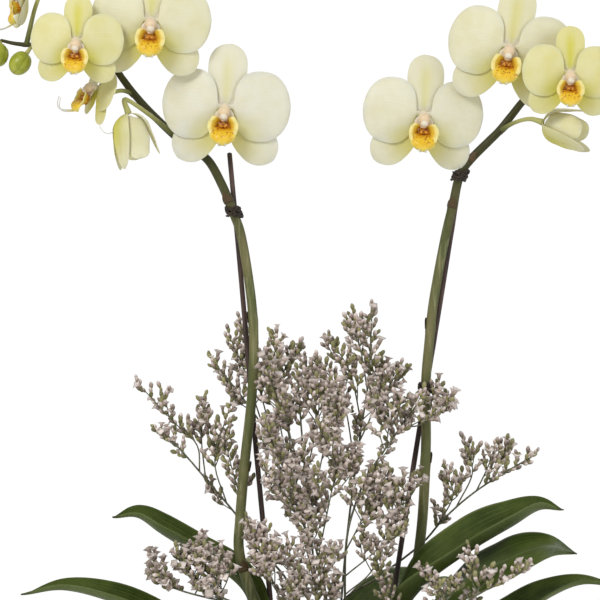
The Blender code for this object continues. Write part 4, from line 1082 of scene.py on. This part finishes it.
def make_lip(size, curl, phase, tendril, drooping):
    """Column and cap, two side lobes that cup it, a broad middle lobe, callus and tendrils."""
    scale = size**LIP_GROWTH * min(1, LIP_FREE_CURL / max(curl, 1))
    front = (LAYER_STEP + SEPAL_THICKNESS + max(0, curl) * (LIP_STAND_OFF * scale) ** 2) / scale
    lip = Sculpt()
    column = [Vector((0, -front - 0.0080 * t, -0.0004 - 0.0052 * t * t)) for t in (0, 0.2, 0.4, 0.6, 0.8, 1)]
    column = smooth_route(column, 4)
    lip.tube(column, lambda t: 0.0027 + 0.0021 * t - 0.0024 * t**7, 20, 0, 0.0, ripple=0.04)
    cap = [(0, 0.0020), (0.0012, 0.0018), (0.0022, 0.0012), (0.0027, 0.0004), (0.0025, -0.0006), (0, -0.0010)]
    lip.turned(cap, 18, 0, lift=column[-1] + Vector((0, -0.0004, -0.0004)), axis=Vector((0, -0.8, -0.6)))

    def throat_place(t, k, width):
        return Vector((width * k, -front - 0.0014 - 0.0012 * t - 0.0014 * k * k, -0.0010 - 0.0100 * t))

    lip_sheet(lip, 12, 11, throat_place, lambda t: 0.0022 + 0.0042 * sin(pi * min(1, 0.1 + 0.8 * t)), 0)

    def floor_place(t, k, width):
        return Vector((width * k, -front - 0.0030 - 0.0010 * t, -0.0095 - 0.0075 * t))

    lip_sheet(lip, 8, 9, floor_place, lambda t: 0.0040 + 0.0008 * t, 3)

    def collar_place(t, k, width):
        return Vector((width * k, 0.0011, 0.0070 * (1 - 2 * t)))

    lip_sheet(lip, 10, 11, collar_place, lambda t: 0.0070 * sqrt(max(0.002, 1 - (1 - 2 * t) ** 2)), 0)

    for sign in (-1, 1):

        def side_place(t, k, _width, sign=sign):
            turn = radians(6 + 56 * k * (1 - 0.25 * t * t))
            wide = 0.0036 + 0.0058 * t
            tall = 0.0040 + 0.0052 * t
            curled = 0.0016 * smoothstep(0.72, 1, t)
            flutter = 0.0003 * sin(7 * k + phase) * t
            x = wide * cos(turn) + curled * 0.5
            y = -front - 0.0024 - 0.0090 * t**0.8 + curled + flutter
            return Vector((sign * x, y, -0.0128 + tall * sin(turn) + flutter))

        lip_sheet(lip, 16, 21, side_place, lambda t: 0, 1)

    def middle_place(t, k, width):
        bulge = sin(pi * min(1, 0.10 + 0.60 * t))
        y = -front - 0.0034 - 0.0092 * bulge + 0.0026 * abs(k) ** 1.8 * (0.4 + t)
        return Vector((width * k, y + 0.0003 * cos(k * 7), -0.0138 - 0.0112 * t + 0.0006 * k * k))

    def middle_width(t):
        grown = 0.0058 + 0.0030 * smoothstep(0, 0.42, t)
        return grown * max(0.06, 1 - max(0, (t - 0.35) / 0.65) ** 2.2) ** 0.5

    lip_sheet(lip, 26, 19, middle_place, middle_width, 2, 0.0008)

    knob = [(0, 0.0017), (0.0007, 0.0015), (0.0013, 0.0007), (0.0014, -0.0003), (0.0009, -0.0011)]
    knob.append((0, -0.0013))
    for sign in (-1, 1):
        place = (sign * 0.0014, -front - 0.0080, -0.0122)
        lip.turned(knob, 12, 3, lift=place, axis=Vector((sign * 0.4, -0.75, 0.5)))

    tip = middle_place(1, 0, 0)
    forward, back_up = (Vector((0, -1, 0)), Vector((0, 0, 1)))
    if drooping:
        forward, back_up = (Vector((0, -0.25, -0.97)), Vector((0, 0.97, -0.25)))
    for sign in (-1, 1):
        hook = []
        for i in range(17):
            t = i / 16
            out = Vector((sign * (0.0005 + 0.0020 * sin(2.2 * t)), 0, 0))
            reach = tendril / scale * sin(1.5 * t)
            sag = tendril / scale * (-0.24 * sin(2.6 * t) + 0.52 * t**3.4)
            hook.append(tip + out + Vector((0, 0.0006, 0.0004)) + forward * reach + back_up * sag)
        lip.tube(hook, lambda t: (0.00075 - 0.00045 * t) / scale**0.5, 7, 4)
    lip.place(Matrix.Scale(scale, 4))
    return lip


def make_flower(name, _owner, hub, turn, nod, roll, size, curl, _leaves_at, yellow, lip_colours):
    petal = petal_paint(f"petal_{name}", yellow)
    phase = rng.uniform(0, 6.28)
    where = Matrix.Translation(hub) @ flower_turn(turn, nod, roll).to_4x4()

    sepals = Sculpt()
    for number, facts in enumerate(SEPALS):
        lobe(sepals, facts, size, curl, 0, min(number, 1) + 1, phase + number)
    sepals.place(where)
    sepals.finish(f"flower_{name}_sepal_whorl", "petal_cream", [f"flower_{name}_sepals"], [petal])

    petals = Sculpt()
    for number, facts in enumerate(PETALS):
        lobe(petals, facts, size, curl, LAYER_STEP, 0, phase + 3 + number)
    petals.place(where)
    petals.finish(f"flower_{name}_petal_pair", "petal_cream", [f"flower_{name}_petals"], [petal])

    seen_from_side = abs(turn) > SIDE_TURN
    drooping = nod > DROOPING_NOD
    lip = make_lip(size, curl, phase, LONG_TENDRIL if seen_from_side else SHORT_TENDRIL, drooping)
    lip.place(where)
    lip.finish(f"flower_{name}_lip_column", "lip_gold", [f"flower_{name}_lip"], lip_colours)


# ---- stakes and ties


def make_stake(side, paint):
    foot, top = (Vector(p) for p in STAKES[side])
    route = []
    for i in range(41):
        t = i / 40
        bend = Vector((0.00025 * sin(9 * t), 0.00020 * sin(7 * t + 1), 0))
        route.append(foot.lerp(top, t) + bend * sin(pi * t))
    stake = Sculpt()
    joints = 5

    def radius(t):
        return STAKE_RADIUS * (1 - 0.08 * t) * (1 + 0.05 * bump((t * joints) % 1, 0.5, 0.03))

    stake.tube(route, radius, 14, ripple=0.03)
    stake.finish(f"stake_{side}_cane", "stake_brown", [f"stake_{side}"], [paint])


def make_tie(name, side, height, paint):
    """Raffia wound three times round the spike and its stake, with its ends twisted in front."""
    route = smooth_route(SPIKES[side], 8)
    spike = min(route, key=lambda p: abs(p.z - height))
    foot, top = (Vector(p) for p in STAKES[side])
    stake = foot.lerp(top, (height - foot.z) / (top.z - foot.z))
    centre = (spike + stake) / 2
    lean = atan2(stake.x - spike.x, stake.y - spike.y)
    rise = (route[min(route.index(spike) + 1, len(route) - 1)] - spike).normalized()
    tie = Sculpt()
    turns, steps = 4.3, 24
    winding = []
    for i in range(int(turns * steps) + 1):
        angle = -pi / 2 + 2 * pi * i / steps
        t = i / (turns * steps)
        across = (TIE_HALF_WIDTH - 0.0009) * cos(angle) * (1 + 0.07 * sin(i * 1.7))
        deep = (TIE_HALF_DEPTH - 0.0009) * sin(angle)
        level = height + (t - 0.5) * 0.0058 + 0.0007 * sin(i * 0.9)
        drift = rise * ((level - height) / max(rise.z, 0.2))
        x = centre.x + across * cos(lean) + deep * sin(lean) + drift.x
        winding.append(Vector((x, centre.y + deep * cos(lean) - across * sin(lean), level)))
    tie.tube(winding, 0.00095, 8, ripple=0.14)
    knot = Vector((spike.x, spike.y - SPIKE_RADIUS - 0.0012, height))
    ends = ((-0.0052, 0.0024), (-0.0047, -0.0028), (0.0050, 0.0030), (0.0045, -0.0016))
    for number, (dx, dz) in enumerate(ends):
        end = knot + Vector((dx, -0.0012, dz))
        middle = knot.lerp(end, 0.5) + Vector((0, -0.0012, 0.0008 * (-1) ** number))
        tie.tube(smooth_route((knot, middle, end), 5), lambda t: 0.0008 - 0.0003 * t, 7, ripple=0.12)
    tie.finish(name + "_raffia", "tie_brown", [name], [paint])


# ---- sea lavender


def floret_shape(rings, sides, frill):
    """A tiny papery floret along +Z, 1 unit long: rings of (height, radius), and how frilled its mouth is."""
    points, grow = [], []
    for height, radius in rings:
        for k in range(sides):
            angle = 2 * pi * k / sides
            wide = radius * (1 + frill * (1 if k % 2 else -0.6) * (height > 0.8))
            points.append((wide * cos(angle), wide * sin(angle), height))
            grow.append(height)
    return np.array(points), closed_rings(len(rings), sides), grow


CLOSED_FLORET = floret_shape(((0.0, 0.11), (0.25, 0.23), (0.55, 0.30), (0.82, 0.23), (1.0, 0.05)), 6, 0.0)
OPEN_RINGS = ((0.0, 0.11), (0.35, 0.22), (0.70, 0.28), (0.90, 0.46), (1.0, 0.58), (0.88, 0.22))
OPEN_FLORET = floret_shape(OPEN_RINGS, 8, 0.22)


def add_floret(spray, place, direction, length, opened, green):
    turn = np.array(direction.to_track_quat("Z", "Y").to_matrix()) * length
    spin = rng.uniform(0, 6.28)
    c, s = cos(spin), sin(spin)
    about = np.array(((c, -s, 0), (s, c, 0), (0, 0, 1)))
    shape, faces, grow = OPEN_FLORET if opened else CLOSED_FLORET
    points = shape @ (turn @ about).T + np.array(place)
    tone = min(1, max(0, rng.gauss(0.66 if opened else 0.48, 0.32)))
    spray.add([Vector(p) for p in points], faces, [(g, green, tone) for g in grow], 1)


def add_spikelet(spray, start, direction, length, opening):
    """A short side spike that bends upwards, with two rows of florets packed along it."""
    direction = direction.normalized()
    end = start + direction * length + UP * length * 0.25
    middle = start.lerp(end, 0.5) - UP * length * 0.08
    route = smooth_route((start, middle, end), 3)
    spray.tube(route, lambda t: 0.00036 - 0.00012 * t, 4, 0)
    heading = (route[-1] - route[0]).normalized()
    side = heading.orthogonal().normalized()
    side = (side * rng.uniform(-1, 1) + heading.cross(side) * rng.uniform(-1, 1)).normalized()
    count = max(3, int(length / FLORET_STEP))
    for n in range(count):
        t = 0.16 + 0.84 * n / (count - 1)
        lean = 0.62 * (1 if n % 2 else -1) * (1.05 - 0.8 * t)
        jitter = Vector((rng.gauss(0, 0.22), rng.gauss(0, 0.22), rng.gauss(0, 0.22)))
        pointing = (heading * 0.80 + UP * 0.55 + side * lean + jitter).normalized()
        place = at_fraction(route, t) - pointing * 0.0004
        opened = rng.random() < opening
        size = rng.uniform(0.0036, 0.0056)
        green = 0.85 if not opened and rng.random() < GREEN_BUD_SHARE else 0.0
        add_floret(spray, place, pointing, size, opened, green)


def dress_branch(spray, route, start, spacing, length, opening):
    """Spikelets on alternate sides along the outer part of a branch, shorter towards its tip."""
    total = sum((b - a).length for a, b in zip(route, route[1:]))
    steps = max(1, round(total * (1 - start) / spacing))
    for n in range(steps):
        t = start + (1 - start) * n / steps
        place = at_fraction(route, t)
        heading = (at_fraction(route, min(1, t + 0.03)) - at_fraction(route, max(0, t - 0.03))).normalized()
        turn = rng.uniform(-0.8, 0.8) + (0 if n % 2 else pi)
        side = Vector((cos(turn), sin(turn), 0.30))
        side = (side - heading * side.dot(heading)).normalized()
        reach = length * (1.05 - 0.50 * (t - start) / (1 - start)) * rng.uniform(0.7, 1.15)
        add_spikelet(spray, place, heading * 0.8 + side * 0.8, reach, opening)
    tip = (route[-1] - route[-2]).normalized()
    add_spikelet(spray, route[-1] - tip * 0.002, tip, length * 0.7, opening)


# How full each spray is: how many side branches are added, how long they are, and the share of
# its florets that are open.
FULLNESS = {
    "spray_far_left": (10, 0.015, 0.10), "spray_left": (11, 0.016, 0.12),
    "spray_centre_left": (46, 0.026, 0.38), "spray_centre_right": (12, 0.020, 0.15),
    "spray_right": (30, 0.022, 0.35), "spray_far_right": (7, 0.012, 0.10),
    "spray_low_left": (42, 0.023, 0.38), "spray_low_right": (14, 0.016, 0.12),
}


def make_spray(name, foot, main, branches, paints):
    spray = Sculpt()
    x, y = foot
    count, length, opening = FULLNESS[name]
    stem = smooth_route([(x, y, SPRAY_FOOT_Z), (x, y, MEDIUM_TOP + 0.006), *main], 5)
    spray.tube(stem, lambda t: SPRAY_STEM_RADIUS + (SPRAY_BRANCH_RADIUS - SPRAY_STEM_RADIUS) * t, 8)
    dress_branch(spray, stem, 0.84, 0.0042, 0.0085, opening)
    routes = [stem]
    for start, points in branches:
        route = smooth_route([at_fraction(stem, start), *points], 6)
        spray.tube(route, lambda t: SPRAY_BRANCH_RADIUS * (1 - 0.35 * t), 6)
        dress_branch(spray, route, 0.42, 0.0040, 0.0088, opening)
        routes.append(route)
    for n in range(count):
        parent = routes[n % len(routes)]
        t = rng.uniform(0.50, 0.95) if parent is stem else rng.uniform(0.15, 0.8)
        place = at_fraction(parent, t)
        heading = (at_fraction(parent, min(1, t + 0.03)) - place).normalized()
        turn = rng.uniform(0, 2 * pi)
        side = Vector((cos(turn), 0.8 * sin(turn), 0))
        end = place + (heading * 0.9 + side * 0.7 + UP * 0.35).normalized() * length * rng.uniform(0.7, 1.25)
        middle = place.lerp(end, 0.5) + side * length * 0.12
        route = smooth_route((place, middle, end), 4)
        spray.tube(route, lambda t: SPRAY_BRANCH_RADIUS * (0.8 - 0.3 * t), 5)
        dress_branch(spray, route, 0.40, 0.0042, 0.0070, opening)
    spray.finish(name + "_florets", "lavender_mauve", [name], paints)


# ---- build


def main():
    make_camera()
    make_light()
    make_floor()
    make_vase()
    make_medium()
    stem = stem_paint()
    crown = simple_paint("crown_skin", 0.6, 120, (0.10, 0.12, 0.03), (0.24, 0.24, 0.09), 0.0008, (1, 1, 0.3))
    root = simple_paint("aerial_root", 0.8, 260, (0.30, 0.33, 0.22), (0.50, 0.52, 0.42), 0.0005)
    cane = simple_paint(
        "stained_cane", 0.7, 300, (0.030, 0.018, 0.015), (0.105, 0.060, 0.048), 0.0005, (1, 1, 0.08)
    )
    raffia = simple_paint("dark_raffia", 0.85, 700, (0.016, 0.011, 0.008), (0.065, 0.042, 0.028), 0.0005)
    bud = bud_paint()
    leaf = leaf_paint("orchid_leaf", (0.024, 0.046, 0.003), (0.068, 0.100, 0.012), (0.125, 0.155, 0.055))
    twig = simple_paint("lavender_twig", 0.8, 500, (0.075, 0.070, 0.040), (0.19, 0.19, 0.12), 0.0003)
    floret = floret_paint()
    lip_colours = lip_paints()
    for side in SPIKES:
        make_crown(side, crown, root)
        make_spike(side, stem)
        make_stake(side, cane)
    for name, (route, half_width, near_rise, far_rise) in LEAVES.items():
        make_leaf(name, route, half_width, near_rise, far_rise, leaf)
    for name, (side, height) in TIES.items():
        make_tie(name, side, height, raffia)
    for name, facts in FLOWERS.items():
        make_flower(name, *facts, lip_colours)
    for name, facts in BUDS.items():
        make_bud(name, *facts, bud)
    for name, facts in SPRAYS.items():
        make_spray(name, *facts, [twig, floret])


main()
